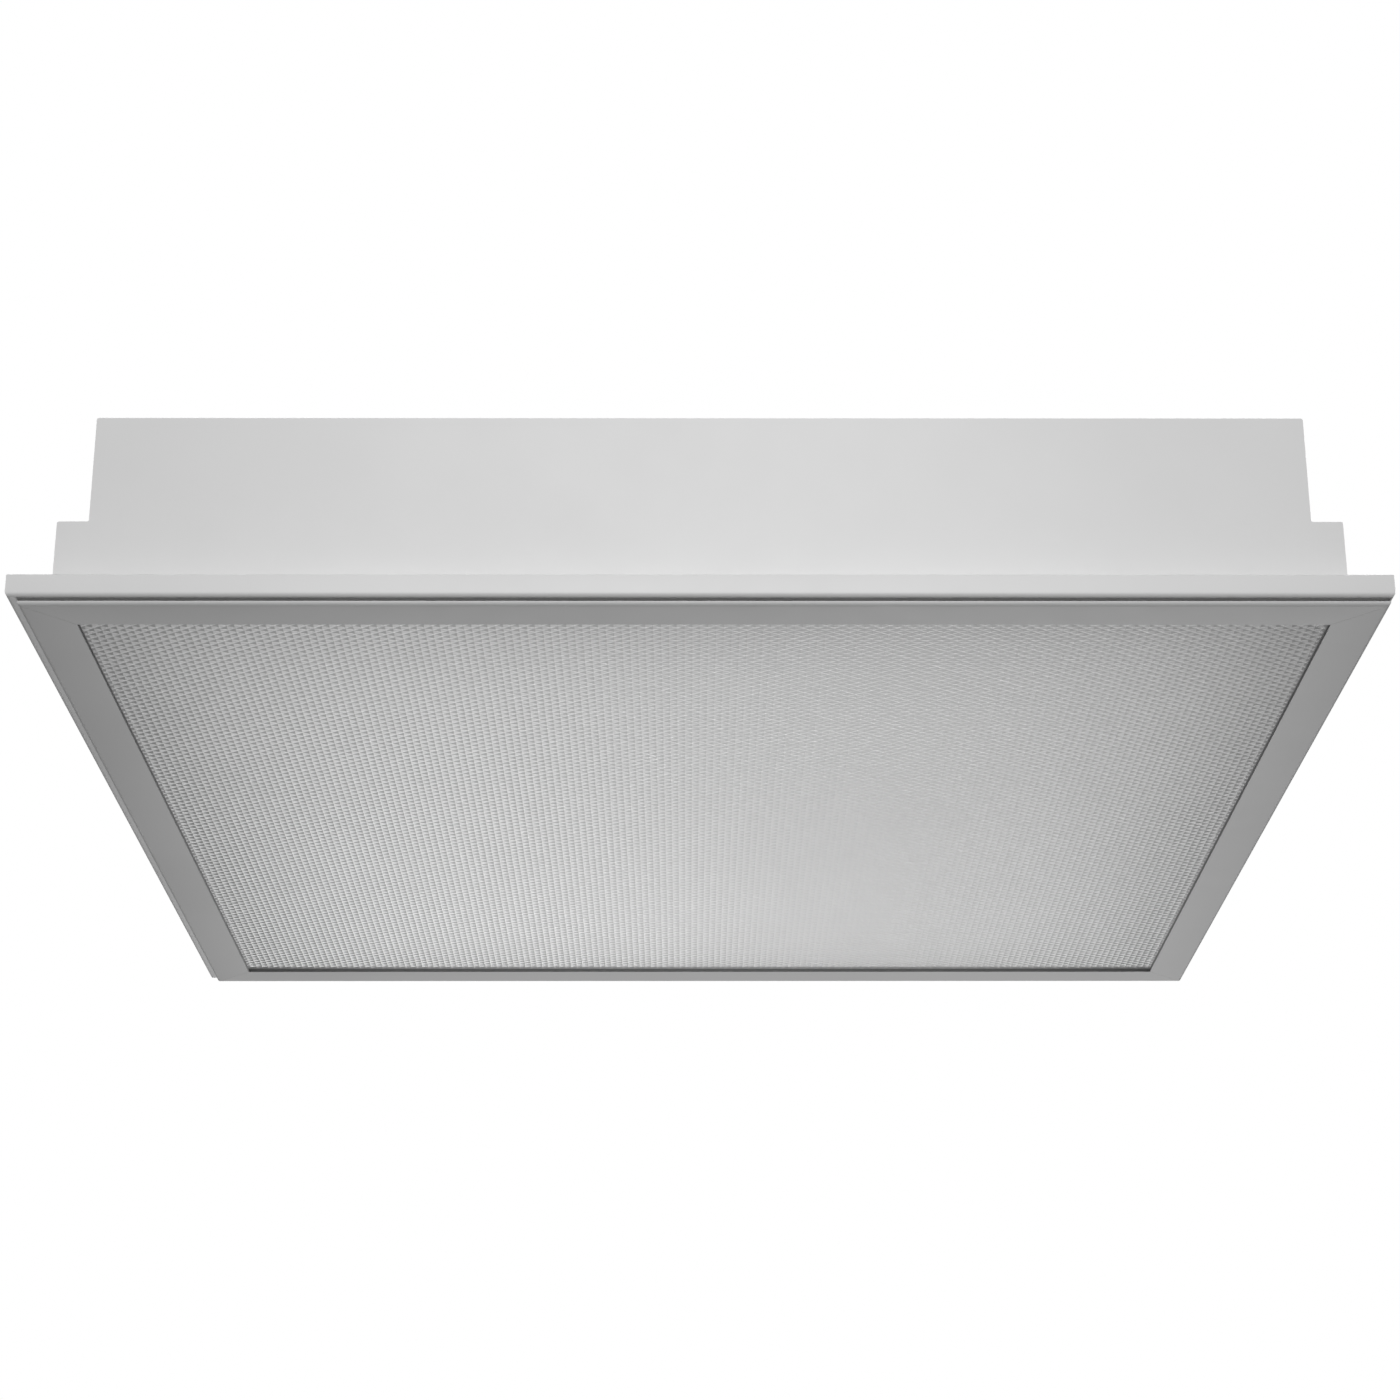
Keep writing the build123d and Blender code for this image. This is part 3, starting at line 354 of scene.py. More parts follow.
@dataclass(frozen=True)
class PlatedSteel:
    """Zinc plated or plain strip steel: fine rolling lines and a mottled plating."""

    name: str
    colour: Colour = (0.60, 0.61, 0.63)
    roughness: float = 0.34
    line_axis: tuple[float, float, float] = (1.0, 0.02, 1.0)

    def build(self) -> bpy.types.Material:
        """Makes the material."""
        s = Shader(self.name)
        mottle = s.noise(160.0, 3.0)
        dull = tuple(channel * 0.78 for channel in self.colour)
        colour = s.blend(mottle.step_up(0.3, 0.7), dull, self.colour)
        lines = s.noise(1800.0, 1.0, self.line_axis)
        rough = self.roughness + (lines - 0.5) * 0.2 + (mottle - 0.5) * 0.1
        return s.finish(Base_Color=colour, Roughness=rough, Metallic=1.0, Normal=s.bump(lines, 0.01 * MM))


@dataclass(frozen=True)
class Moulded:
    """Moulded plastic with a spark-eroded grain."""

    name: str
    colour: Colour
    roughness: float = 0.45
    grain_depth: float = 0.03 * MM

    def build(self) -> bpy.types.Material:
        """Makes the material."""
        s = Shader(self.name)
        grain = s.noise(2200.0, 2.0)
        dark = tuple(channel * 0.85 for channel in self.colour)
        colour = s.blend(s.noise(70.0, 2.0).step_up(0.3, 0.7), dark, self.colour)
        rough = self.roughness + (grain - 0.5) * 0.16
        return s.finish(Base_Color=colour, Roughness=rough, Normal=s.bump(grain, self.grain_depth))


@dataclass(frozen=True)
class FoamRubber:
    """Rubber or closed-cell foam: dull, with open pores where it is foam."""

    name: str
    colour: Colour = (0.035, 0.035, 0.035)
    pore_scale: float = 1500.0
    pore_depth: float = 0.08 * MM

    def build(self) -> bpy.types.Material:
        """Makes the material."""
        s = Shader(self.name)
        pores = s.cells(self.pore_scale).clamped()
        dusty = tuple(channel + 0.03 for channel in self.colour)
        colour = s.blend(s.noise(220.0, 3.0).step_up(0.4, 0.7), self.colour, dusty)
        rough = 0.75 + pores * 0.15
        return s.finish(Base_Color=colour, Roughness=rough, Normal=s.bump(pores, self.pore_depth))


@dataclass(frozen=True)
class SolderResist:
    """White resist of the light boards, with copper tracks that show through as faint bands."""

    name: str
    colour: Colour = (0.82, 0.82, 0.79)
    track: Colour = (0.66, 0.62, 0.52)
    track_pitch: float = 10 * MM

    def build(self) -> bpy.types.Material:
        """Makes the material."""
        s = Shader(self.name)
        _, y, _ = s.axes()
        along = y / self.track_pitch
        bands = abs(along.math("FRACT", along) - 0.5).step_up(0.40, 0.43)
        colour = s.blend(bands * 0.5, self.colour, self.track)
        height = bands + s.noise(900.0, 1.0) * 0.2
        return s.finish(Base_Color=colour, Roughness=0.32, Normal=s.bump(height, 0.03 * MM))


@dataclass(frozen=True)
class Phosphor:
    """Yellow phosphor under clear resin, speckled with its grains."""

    name: str
    colour: Colour = (0.86, 0.66, 0.12)

    def build(self) -> bpy.types.Material:
        """Makes the material."""
        s = Shader(self.name)
        grains = s.noise(5200.0, 3.0)
        pale = tuple(min(1.0, channel * 1.18 + 0.02) for channel in self.colour)
        colour = s.blend(grains.step_up(0.35, 0.65), self.colour, pale)
        return s.finish(Base_Color=colour, Roughness=0.22 + grains * 0.1, Coat_Weight=0.6)


# ---- surfaces --------------------------------------------------------------------------------------
@dataclass
class Surface:
    """Points and faces of a mesh, worked out as whole arrays."""

    points: np.ndarray
    faces: list[list[int]]

    def moved(self, shift: Sequence[float]) -> Surface:
        """The same surface moved by a vector."""
        return Surface(self.points + np.asarray(shift), self.faces)

    def turned(self, matrix: Matrix) -> Surface:
        """The same surface turned by a rotation matrix."""
        turn = np.array(matrix.to_3x3())
        return Surface(self.points @ turn.T, self.faces)


def joined(surfaces: Sequence[Surface]) -> Surface:
    """Puts several surfaces into one, each kept as its own shell."""
    starts = np.cumsum([0] + [len(s.points) for s in surfaces])
    faces = [[index + int(start) for index in face]
             for s, start in zip(surfaces, starts) for face in s.faces]
    return Surface(np.concatenate([s.points for s in surfaces]), faces)


def grid_quads(rows: int, columns: int, wrap_rows: bool, wrap_columns: bool) -> np.ndarray:
    """Corner numbers of the quads of a grid whose points are numbered row by row.

    Args:
        rows: Points along the first parameter.
        columns: Points along the second parameter.
        wrap_rows: Whether the last row joins the first.
        wrap_columns: Whether the last column joins the first.

    Returns:
        An array of four corner numbers for each quad.
    """
    last_row, last_column = rows - (not wrap_rows), columns - (not wrap_columns)
    r, c = (a.ravel() for a in np.meshgrid(np.arange(last_row), np.arange(last_column), indexing="ij"))
    r1, c1 = (r + 1) % rows, (c + 1) % columns
    return np.stack([r * columns + c, r * columns + c1, r1 * columns + c1, r1 * columns + c], axis=1)


def rectangle(low: Sequence[float], high: Sequence[float], z: float) -> np.ndarray:
    """Four corners at one height, anticlockwise from above."""
    return np.array([(low[0], low[1], z), (high[0], low[1], z), (high[0], high[1], z), (low[0], high[1], z)])


def rounded_outline(corners: Sequence[tuple[float, float, float]], steps: int = 5) -> np.ndarray:
    """A closed outline with rounded corners.

    Each corner of radius r is replaced by an arc that touches its two sides at r over the tangent of
    half the corner's inner angle; its points are the centre plus r times the cosine and sine of angles
    spread evenly between the two touching directions.

    Args:
        corners: The corners as (across, up, radius), anticlockwise.
        steps: Chords in each arc.

    Returns:
        An array of (across, up) points.
    """
    table = np.asarray(corners, float)
    spots, radii = table[:, :2], np.maximum(table[:, 2], 1e-6)
    before, after = np.roll(spots, 1, 0) - spots, np.roll(spots, -1, 0) - spots
    before /= np.linalg.norm(before, axis=1, keepdims=True)
    after /= np.linalg.norm(after, axis=1, keepdims=True)
    half = np.arccos(np.clip((before * after).sum(1), -1, 1)) / 2
    inward = before + after
    inward /= np.linalg.norm(inward, axis=1, keepdims=True)
    centres = spots + inward * (radii / np.sin(half))[:, None]
    first = spots + before * (radii / np.tan(half))[:, None] - centres
    last = spots + after * (radii / np.tan(half))[:, None] - centres
    start = np.arctan2(first[:, 1], first[:, 0])
    sweep = np.arctan2(last[:, 1], last[:, 0]) - start
    sweep = (sweep + np.pi) % (2 * np.pi) - np.pi
    angles = start[:, None] + sweep[:, None] * np.linspace(0, 1, steps + 1)[None, :]
    arcs = np.stack([np.cos(angles), np.sin(angles)], axis=2) * radii[:, None, None]
    return (centres[:, None, :] + arcs).reshape(-1, 2)


def bar_between(outline: np.ndarray, start: np.ndarray | float, end: np.ndarray | float) -> Surface:
    """A closed outline of (distance out, height) carried along X, with its front side towards -Y.

    Args:
        outline: Closed outline, as (distance from the frame's middle, height).
        start: Where each point of the outline starts along X, or one place for all.
        end: Where each point ends.

    Returns:
        The closed bar.
    """
    out, up = outline[:, 0], outline[:, 1]
    rings = [np.stack([x + 0 * out, -out, up], axis=1) for x in (start, end)]
    count = len(outline)
    sides = grid_quads(2, count, False, True).tolist()
    return Surface(np.concatenate(rings), sides + [list(range(count))[::-1], list(range(count, 2 * count))])


def mitred_bar(outline: np.ndarray, gap: float) -> Surface:
    """The front bar of a square frame, mitred at 45 degrees at both ends.

    A point at distance d ends at x = -(d - gap) and x = d - gap, so gap is half of each mitre's open
    line, measured along the bar.
    """
    reach = outline[:, 0] - gap
    return bar_between(outline, -reach, reach)


def lathed(outline: np.ndarray, segments: int, axis_ends: bool) -> Surface:
    """A surface of revolution about Z: each (radius, height) of the outline goes round a circle.

    Args:
        outline: The outline's points; closed, unless it starts and ends on the axis.
        segments: Points round each circle.
        axis_ends: Whether the first and last circle are closed by a flat face.

    Returns:
        The closed surface.
    """
    turn = np.linspace(0, 2 * np.pi, segments, endpoint=False)
    radius, height = outline[:, 0][:, None], outline[:, 1][:, None]
    x, y = radius * np.cos(turn), radius * np.sin(turn)
    points = np.stack([x, y, np.broadcast_to(height, x.shape)], axis=2).reshape(-1, 3)
    faces = grid_quads(len(outline), segments, not axis_ends, True)[:, ::-1].tolist()
    if axis_ends:
        last = (len(outline) - 1) * segments
        faces += [list(range(segments)), list(range(last, last + segments))[::-1]]
    return Surface(points, faces)


class Side(Enum):
    """The four sides of the light, each with its quarter turns from the front."""

    FRONT = 0
    RIGHT = 1
    REAR = 2
    LEFT = 3

    @property
    def turn(self) -> Matrix:
        """Rotation that brings a front piece to this side."""
        return Matrix.Rotation(self.value * math.pi / 2, 4, "Z")


def outward(obj: bpy.types.Object) -> None:
    """Merges doubled points and makes every shell's faces point outwards."""
    mesh = bmesh.new()
    mesh.from_mesh(obj.data)
    bmesh.ops.remove_doubles(mesh, verts=mesh.verts, dist=1e-7)
    bmesh.ops.recalc_face_normals(mesh, faces=mesh.faces)
    mesh.to_mesh(obj.data)
    mesh.free()


def add_piece(name: str, surface: Surface, material: bpy.types.Material, body: str,
              replaced: Sequence[str] = (), crease: float | None = 35.0) -> bpy.types.Object:
    """Turns a surface into a piece of the light.

    Args:
        name: The piece's name.
        surface: Its points and faces.
        material: Its finish.
        body: The body that it moves with.
        replaced: Solids that it stands for.
        crease: Angle in degrees above which an edge stays sharp; None keeps every facet flat.

    Returns:
        The new object.
    """
    mesh = bpy.data.meshes.new(name)
    mesh.from_pydata(surface.points.tolist(), [], surface.faces)
    obj = bpy.data.objects.new(name, mesh)
    bpy.context.scene.collection.objects.link(obj)
    outward(obj)
    mesh.polygons.foreach_set("use_smooth", np.full(len(mesh.polygons), crease is not None))
    if crease is not None:
        mesh.set_sharp_from_angle(angle=math.radians(crease))
    mesh.materials.append(material)
    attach(obj, body)
    if replaced:
        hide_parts(*replaced)
    log.info("%s: %d points, %d faces, on %s", name, len(mesh.vertices), len(mesh.polygons), body)
    return obj


def dress(names: Sequence[str], material: bpy.types.Material) -> None:
    """Gives solids that keep their own shape a finish."""
    for name in names:
        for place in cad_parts[name].material_slots:
            place.material = material
    log.info("%s on %d solids", material.name, len(names))


# ---- the diffuser door -----------------------------------------------------------------------------
@dataclass
class PrismaticPanel:
    """The acrylic panel: a plate whose lower side is a field of pressed four-sided prisms."""

    border: float = 3.0 * MM
    prism_width: float = 6.92 * MM
    prism_length: float = 5.02 * MM
    prism_height: float = 0.5 * MM
    recess: float = 0.2 * MM

    def surface(self) -> Surface:
        """The plate with its prisms.

        The field inside the border is a grid of half a prism by half a prism. Points whose row and column
        numbers add up to an even number are tips and the others are valleys, a prism's height further up.
        Each square of the grid is split along the line between its two valleys, so that four flat sides
        meet at each tip. Walls join the field's edge to the border, and the border's edge to the back.

        Returns:
            The closed surface.
        """
        low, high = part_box("prismatic_panel")
        edge = Vector((self.border, self.border, 0.0))
        inner_low, inner_high = low + edge, high - edge
        columns = round(2 * (inner_high.x - inner_low.x) / self.prism_width)
        rows = round(2 * (inner_high.y - inner_low.y) / self.prism_length)
        x = np.linspace(inner_low.x, inner_high.x, columns + 1)
        y = np.linspace(inner_low.y, inner_high.y, rows + 1)
        i, j = np.meshgrid(np.arange(columns + 1), np.arange(rows + 1), indexing="ij")
        tips = (i + j) % 2 == 0
        z = low.z + self.recess + np.where(tips, 0.0, self.prism_height)
        field = np.stack([x[i], y[j], z], axis=2).reshape(-1, 3)
        a, b, c, d = grid_quads(columns + 1, rows + 1, False, False).T
        from_tip = np.stack([a, b, d, c, d, b], 1)
        from_valley = np.stack([b, c, a, d, a, c], 1)
        facets = np.where(tips.reshape(-1)[a][:, None], from_tip, from_valley).reshape(-1, 3)
        ring = self.border_numbers(columns + 1, rows + 1)
        lip = field[ring].copy()
        lip[:, 2] = low.z
        plate = np.concatenate([rectangle(low, high, low.z), rectangle(low, high, high.z)])
        first = len(field) + np.arange(len(ring))
        walls = np.stack([ring, np.roll(ring, -1), np.roll(first, -1), first], 1)
        base = len(field) + len(ring)
        faces = facets.tolist() + walls.tolist() + self.border_faces(first, columns, rows, base)
        faces += [[base + 4, base + 5, base + 6, base + 7]]
        faces += [[base + n, base + (n + 1) % 4, base + 4 + (n + 1) % 4, base + 4 + n] for n in range(4)]
        return Surface(np.concatenate([field, lip, plate]), faces)

    @staticmethod
    def border_numbers(columns: int, rows: int) -> np.ndarray:
        """Numbers of the points round the grid's edge, in order: left, rear, right, front."""
        number = np.arange(columns * rows).reshape(columns, rows)
        return np.concatenate([number[:, 0], number[-1, 1:], number[-2::-1, -1], number[0, -2:0:-1]])

    @staticmethod
    def border_faces(lip: np.ndarray, columns: int, rows: int, base: int) -> list[list[int]]:
        """The border's four flat trapeziums between the field's lip and the plate's lower corners."""
        marks = [0, columns, columns + rows, 2 * columns + rows, len(lip)]
        closed = np.append(lip, lip[0])
        return [[base + n, base + (n + 1) % 4] + closed[marks[n]:marks[n + 1] + 1][::-1].tolist()
                for n in range(4)]

    def build(self) -> None:
        """Adds the panel in place of its solid, whose ridges follow one line of the prisms' tips."""
        low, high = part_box("prismatic_panel")
        middle, corner = (low + high) / 2, (low.x + self.border, low.y + self.border)
        field = high.x - low.x - 2 * self.border
        steps = (field / round(2 * field / self.prism_width), field / round(2 * field / self.prism_length))
        finish = PressedPrism("prism_acrylic", (middle.x, middle.y), (high.x - low.x) / 2,
                              corner=corner, steps=steps)
        add_piece("prism_panel", self.surface(), finish.build(), "door",
                  ["prismatic_panel"], crease=None)


@dataclass
class DoorFrame:
    """Four mitred rails, each a face with a rounded outer edge and two webs that stand on it."""

    face_thickness: float = 2.0 * MM
    edge_radius: float = 1.9 * MM
    arris: float = 0.25 * MM
    web_inset: float = 5.5 * MM
    web_thickness: float = 1.5 * MM
    channel_width: float = 4.5 * MM
    mitre_gap: float = 0.085 * MM
    notch_floor: float = 5.6 * MM
    inner_notch_half: float = 18.8 * MM
    outer_notch_half: float = 6.8 * MM
    hinge_row: float = 200 * MM
    # Painted shade: the door's white paint is set darker than the housing's to stand for the shade on its
    # downward faces.
    paint: Colour = (0.64, 0.64, 0.64)
    dullness: float = 0.60
    wall_margin: float = 0.05 * MM

    def face_outline(self, inner: float, outer: float) -> np.ndarray:
        """The face plate: outer lower edge fully rounded, the other edges just broken."""
        top = self.face_thickness
        return rounded_outline([(inner, 0, self.arris), (outer, 0, self.edge_radius),
                                (outer, top, self.arris / 4), (inner, top, self.arris)], 6)

    def web_outline(self, inner: float, low: float, high: float) -> np.ndarray:
        """One standing web, its top edges broken."""
        outer = inner + self.web_thickness
        return rounded_outline([(inner, low, 0), (outer, low, 0), (outer, high, self.arris),
                                (inner, high, self.arris)], 2)

    def webs(self, side: Side, inner: float, top: float) -> list[Surface]:
        """Both webs of a rail, cut away beside the hinges on the right rail."""
        surfaces = []
        low = self.face_thickness - self.arris
        outer_inset = self.web_inset + self.web_thickness + self.channel_width
        for offset, notch in ((self.web_inset, self.inner_notch_half), (outer_inset, self.outer_notch_half)):
            place = inner + offset
            if side is not Side.RIGHT:
                surfaces.append(mitred_bar(self.web_outline(place, low, top), self.mitre_gap))
                continue
            surfaces.append(mitred_bar(self.web_outline(place, low, self.notch_floor), self.mitre_gap))
            raised = self.web_outline(place, self.notch_floor - self.arris, top)
            end, row = place - self.web_thickness, self.hinge_row
            for start, stop in ((-end, -row - notch), (-row + notch, row - notch), (row + notch, end)):
                surfaces.append(bar_between(raised, start, stop))
        return surfaces

    def build(self) -> None:
        """Adds the four rails in place of the plain ones."""
        shift = sum(corner.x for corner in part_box("prismatic_panel")) / 2
        low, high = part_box("door_rail_front")
        inner, outer = -high.y, -low.y
        # This finish carries painted shade: the darker white, and the darkened walls of the opening.
        finish = PowderCoat("door_paint", self.paint, self.dullness, edge_middle=shift,
                            edge_half=inner + self.wall_margin).build()
        for side in Side:
            node = "door_rail_" + side.name.lower()
            bars = [mitred_bar(self.face_outline(inner, outer), self.mitre_gap)]
            bars += self.webs(side, inner, high.z)
            rail = joined(bars).turned(side.turn).moved((shift, 0, 0))
            add_piece(node + "_profile", rail, finish, "door", [node], crease=50.0)


# ---- the flange ------------------------------------------------------------------------------------
@dataclass
class FlangeFrame:
    """Four mitred C rails: ledge above, skirt outside, and the lip that the door closes against."""

    sheet: float = 1.0 * MM
    lower_radius: float = 2.0 * MM
    upper_radius: float = 0.35 * MM
    arris: float = 0.2 * MM
    lip_width: float = 8.5 * MM
    seam: float = 0.03 * MM

    def outline(self, inner: float, outer: float, low: float, high: float) -> np.ndarray:
        """The C, open towards the middle of the light."""
        t, skirt, lip = self.sheet, outer - self.sheet, outer - self.lip_width
        return rounded_outline([
            (inner, high, self.arris), (inner, high - t, self.arris), (skirt, high - t, self.arris),
            (skirt, low + t, self.lower_radius - t), (lip, low + t, self.arris), (lip, low, self.arris),
            (outer, low, self.lower_radius), (outer, high, self.upper_radius)], 6)

    def build(self, finish: bpy.types.Material) -> None:
        """Adds the four rails in place of the plain ones."""
        low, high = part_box("flange_rail_front")
        outline = self.outline(-high.y, -low.y, low.z, high.z)
        for side in Side:
            node = "flange_rail_" + side.name.lower()
            rail = mitred_bar(outline, self.seam).turned(side.turn)
            add_piece(node + "_profile", rail, finish, "housing", [node], crease=50.0)


# ---- lamp compartment ------------------------------------------------------------------------------
@dataclass
class LightSources:
    """Surface-mounted light sources: a white cup with a yellow phosphor window, on every board."""

    pitch: float = 20 * MM
    boards: int = 8
    size: float = 3.0 * MM
    window: float = 2.2 * MM
    height: float = 0.7 * MM
    recess: float = 0.12 * MM
    wall_share: float = 0.85
    rim_share: float = 0.94
    floor_share: float = 0.86
    lens_share: float = 0.84
    crown: float = 0.1 * MM
    lens_gap: float = 0.01 * MM
    lens_depth: float = 0.05 * MM
    lens_points: int = 12

    def spots(self) -> np.ndarray:
        """Centres of the sources: on each board's lower face, a row at one pitch along its middle."""
        rows = []
        for number in range(1, self.boards + 1):
            low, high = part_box(f"led_board_{number}")
            count = int((high.y - low.y - self.pitch) // self.pitch) + 1
            along = (np.arange(count) - (count - 1) / 2) * self.pitch + (low.y + high.y) / 2
            rows.append(np.stack([np.full(count, (low.x + high.x) / 2), along, np.full(count, low.z)], 1))
        return np.concatenate(rows)

    def cup(self) -> Surface:
        """Cup below the board: outer walls, a rim, and sides that slope to the window's floor."""
        half, inner, z = self.size / 2, self.window / 2, -self.height
        levels = [(half, 0), (half, z * self.wall_share), (half * self.rim_share, z), (inner, z),
                  (inner * self.floor_share, z + self.recess)]
        rings = [rectangle((-reach, -reach), (reach, reach), level) for reach, level in levels]
        faces = grid_quads(len(rings), 4, False, True).tolist()
        faces += [[3, 2, 1, 0], [16, 17, 18, 19]]
        return Surface(np.concatenate(rings), faces)

    def lens(self) -> Surface:
        """Resin in the cup: a low pillow whose height falls as one less the square of the distance."""
        count = self.lens_points
        turn = np.linspace(0, 2 * np.pi, count, endpoint=False)
        share = np.array([1.0, 0.66, 0.33])
        radius = self.window / 2 * self.lens_share * share
        drop = -self.height + self.recess - self.crown * (1 - share**2) - self.lens_gap
        x, y = radius[:, None] * np.cos(turn), radius[:, None] * np.sin(turn)
        points = np.stack([x, y, np.broadcast_to(drop[:, None], x.shape)], 2).reshape(-1, 3)
        back = points[:count].copy()
        back[:, 2] += self.lens_depth
        tip, base = 2 * count, 3 * count
        faces = grid_quads(len(share), count, False, True).tolist() + [list(range(tip, base))]
        faces += [[n, (n + 1) % count, base + (n + 1) % count, base + n] for n in range(count)]
        faces += [list(range(base, base + count))]
        return Surface(np.concatenate([points, back]), faces)

    def build(self) -> None:
        """Adds all cups as one piece and all windows as another."""
        spots = self.spots()
        cup, lens = self.cup(), self.lens()
        cups = joined([cup.moved(spot) for spot in spots])
        lenses = joined([lens.moved(spot) for spot in spots])
        plastic = Moulded("source_cup", (0.84, 0.84, 0.82), 0.35).build()
        add_piece("light_source_cups", cups, plastic, "housing", ["led_chips"], crease=20.0)
        resin = Phosphor("phosphor").build()
        add_piece("light_source_windows", lenses, resin, "housing", crease=60.0)


# ---- fittings in the top ---------------------------------------------------------------------------
@dataclass
class CableGrommet:
    """Rubber ring with rounded lips above and below the sheet and a slightly flared bore."""

    flange_radius: float = 11 * MM
    neck_radius: float = 8 * MM
    bore_radius: float = 5 * MM
    flange_height: float = 2.5 * MM
    lip_radius: float = 1.1 * MM
    segments: int = 64

    def build(self) -> None:
        """Adds the ring in place of its plain solid."""
        low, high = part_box("cable_grommet")
        lower, upper = low.z + self.flange_height, high.z - self.flange_height
        bore, neck, edge = self.bore_radius, self.neck_radius, self.flange_radius
        outline = rounded_outline([
            (bore, low.z, self.lip_radius), (edge, low.z, self.lip_radius), (edge, lower, 0.3 * MM),
            (neck, lower, 0.1 * MM), (neck, upper, 0.1 * MM), (edge, upper, 0.3 * MM),
            (edge, high.z, self.lip_radius), (bore, high.z, self.lip_radius)], 6)
        ring = lathed(outline, self.segments, False)
        ring = ring.moved(((low.x + high.x) / 2, (low.y + high.y) / 2, 0))
        rubber = FoamRubber("grommet_rubber", pore_scale=900.0, pore_depth=0.02 * MM).build()
        add_piece("cable_grommet_ring", ring, rubber, "housing", ["cable_grommet"],
                  crease=50.0)


@dataclass
class HousingRivets:
    """Pop rivets of the end plates: domed heads with the snapped mandrel sunk in the middle."""

    columns: tuple[float, ...] = (-200 * MM, 0.0, 200 * MM)
    rows: tuple[float, ...] = (15 * MM, 35 * MM)
    step_height: float = 45.2 * MM
    inset: float = 273.4 * MM
    head_radius: float = 3.2 * MM
    head_height: float = 1.0 * MM
    shank_radius: float = 1.6 * MM
    tail_radius: float = 2.4 * MM
    grip: float = 2.0 * MM
    tail_height: float = 2.0 * MM
    tail_shoulder: float = 0.5 * MM
    mandrel_radius: float = 0.75 * MM
    segments: int = 24

    def rivet(self) -> Surface:
        """One rivet on the Z axis, the underside of its head at height 0.

        The dome is a quarter ellipse from the rim to the mandrel's hole, which is a short way deep with the
        mandrel's flat end at its bottom.
        """
        angle = np.linspace(0, math.pi / 2, 8)
        hole = self.mandrel_radius
        dome = np.stack([hole + (self.head_radius - hole) * np.cos(angle),
                         self.head_height * np.sin(angle)], 1)
        sunk = np.array([(hole, self.head_height * 0.45), (hole * 0.8, self.head_height * 0.5)])
        under, tail = -self.grip, self.tail_radius
        below = np.array([
            (tail * 0.6, under - self.tail_height), (tail, under - self.tail_shoulder),
            (tail * 0.96, under), (self.shank_radius, under), (self.shank_radius, 0.0),
            (self.head_radius * 0.98, 0.0)])
        return lathed(np.concatenate([below, dome, sunk]), self.segments, True)

    def places(self) -> list[tuple[Matrix, Vector]]:
        """Turn and place of every rivet: on the top, and on both upper walls."""
        body_low, body_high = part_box("body_shell")
        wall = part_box("end_plate_rivets")[1].x - self.head_height
        spots = []
        for end in (-1, 1):
            for column in self.columns:
                spots.append((Matrix.Identity(4), Vector((column, end * self.inset, body_high.z))))
            for side in (-1, 1):
                turn = Matrix.Rotation(side * math.pi / 2, 4, "Y")
                for row in self.rows:
                    spots.append((turn, Vector((side * wall, end * self.inset, self.step_height + row))))
        return spots

    def build(self) -> None:
        """Adds all rivets as one piece in place of the plain ones."""
        rivet = self.rivet()
        rivets = joined([rivet.turned(turn).moved(place) for turn, place in self.places()])
        add_piece("domed_rivets", rivets, PlatedSteel("rivet_steel", (0.72, 0.72, 0.73), 0.3).build(),
                  "housing", ["end_plate_rivets"], crease=40.0)


@dataclass
class SuspensionThreads:
    """Thread inside the four rivet nuts: a ridge that winds up the bore."""

    radius: float = 2.49 * MM
    depth: float = 0.36 * MM
    pitch: float = 0.8 * MM
    segments: int = 20
    flange_radius: float = 7 * MM
    end_gap: float = 0.1 * MM

    def thread(self, length: float) -> Surface:
        """One thread on the Z axis, from height 0 up.

        At turn t and place s across the ridge, the radius is the bore's less the ridge's depth times a
        triangle of s, and the height is (t + s) pitches.
        """
        turns = length / self.pitch - 1.0
        t = np.linspace(0, turns, int(turns * self.segments) + 1)[:, None]
        s = np.array([0.0, 0.5, 1.0])[None, :]
        radius = self.radius - self.depth * (1 - np.abs(2 * s - 1)) + 0 * t
        height = (t + s) * self.pitch
        x, y = radius * np.cos(2 * np.pi * t), radius * np.sin(2 * np.pi * t)
        points = np.stack([x, y, height], 2).reshape(-1, 3)
        last = len(points) - 3
        faces = grid_quads(len(t), 3, False, True).tolist() + [[2, 1, 0], [last, last + 1, last + 2]]
        return Surface(points, faces)

    def build(self, finish: bpy.types.Material) -> None:
        """Adds the four threads as one piece."""
        low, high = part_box("suspension_nuts")
        inset, gap = self.flange_radius, self.end_gap
        spots = [(x, y) for x in (low.x + inset, high.x - inset) for y in (low.y + inset, high.y - inset)]
        thread = self.thread(high.z - low.z - 2 * gap)
        threads = joined([thread.moved((x, y, low.z + gap)) for x, y in spots])
        add_piece("suspension_threads", threads, finish, "housing", crease=50.0)


# ---- everything that keeps its own shape -----------------------------------------------------------
@dataclass
class Housing:
    """Shell, end plates, gasket, cover and the fittings on them."""

    def build(self, paint: bpy.types.Material, steel: bpy.types.Material,
              bright: bpy.types.Material) -> None:
        """Dresses the housing's solids."""
        dress(["body_shell", "end_plate_front", "end_plate_rear", "wiring_cover"], paint)
        dress(["flange_gasket"], FoamRubber("gasket_foam").build())
        dress(["suspension_nuts", "magnet_brackets", "hinge_guides", "hinge_link_front", "hinge_link_rear"],
              steel)
        dress(["pan_head_screws", "clip_pivot_screws", "cord_clamp_screws", "hinge_pins"], bright)
        clips = [f"hold_down_clip_{side}_{end}" for side in ("left", "right") for end in ("front", "rear")]
        dress(clips, PlatedSteel("spring_strip", (0.46, 0.47, 0.49), 0.28).build())
        dress(["catch_magnets"], Moulded("ferrite", (0.07, 0.07, 0.075), 0.6, 0.05 * MM).build())


@dataclass
class DoorFittings:
    """What the door carries: cleats, panel clips, keepers and hinge leaves."""

    def build(self, steel: bpy.types.Material) -> None:
        """Dresses the door's small solids."""
        dress(["corner_cleats", "catch_keepers", "hinge_leaves"], steel)
        dress(["panel_clips"], PlatedSteel("clip_strip", (0.55, 0.56, 0.58), 0.3).build())


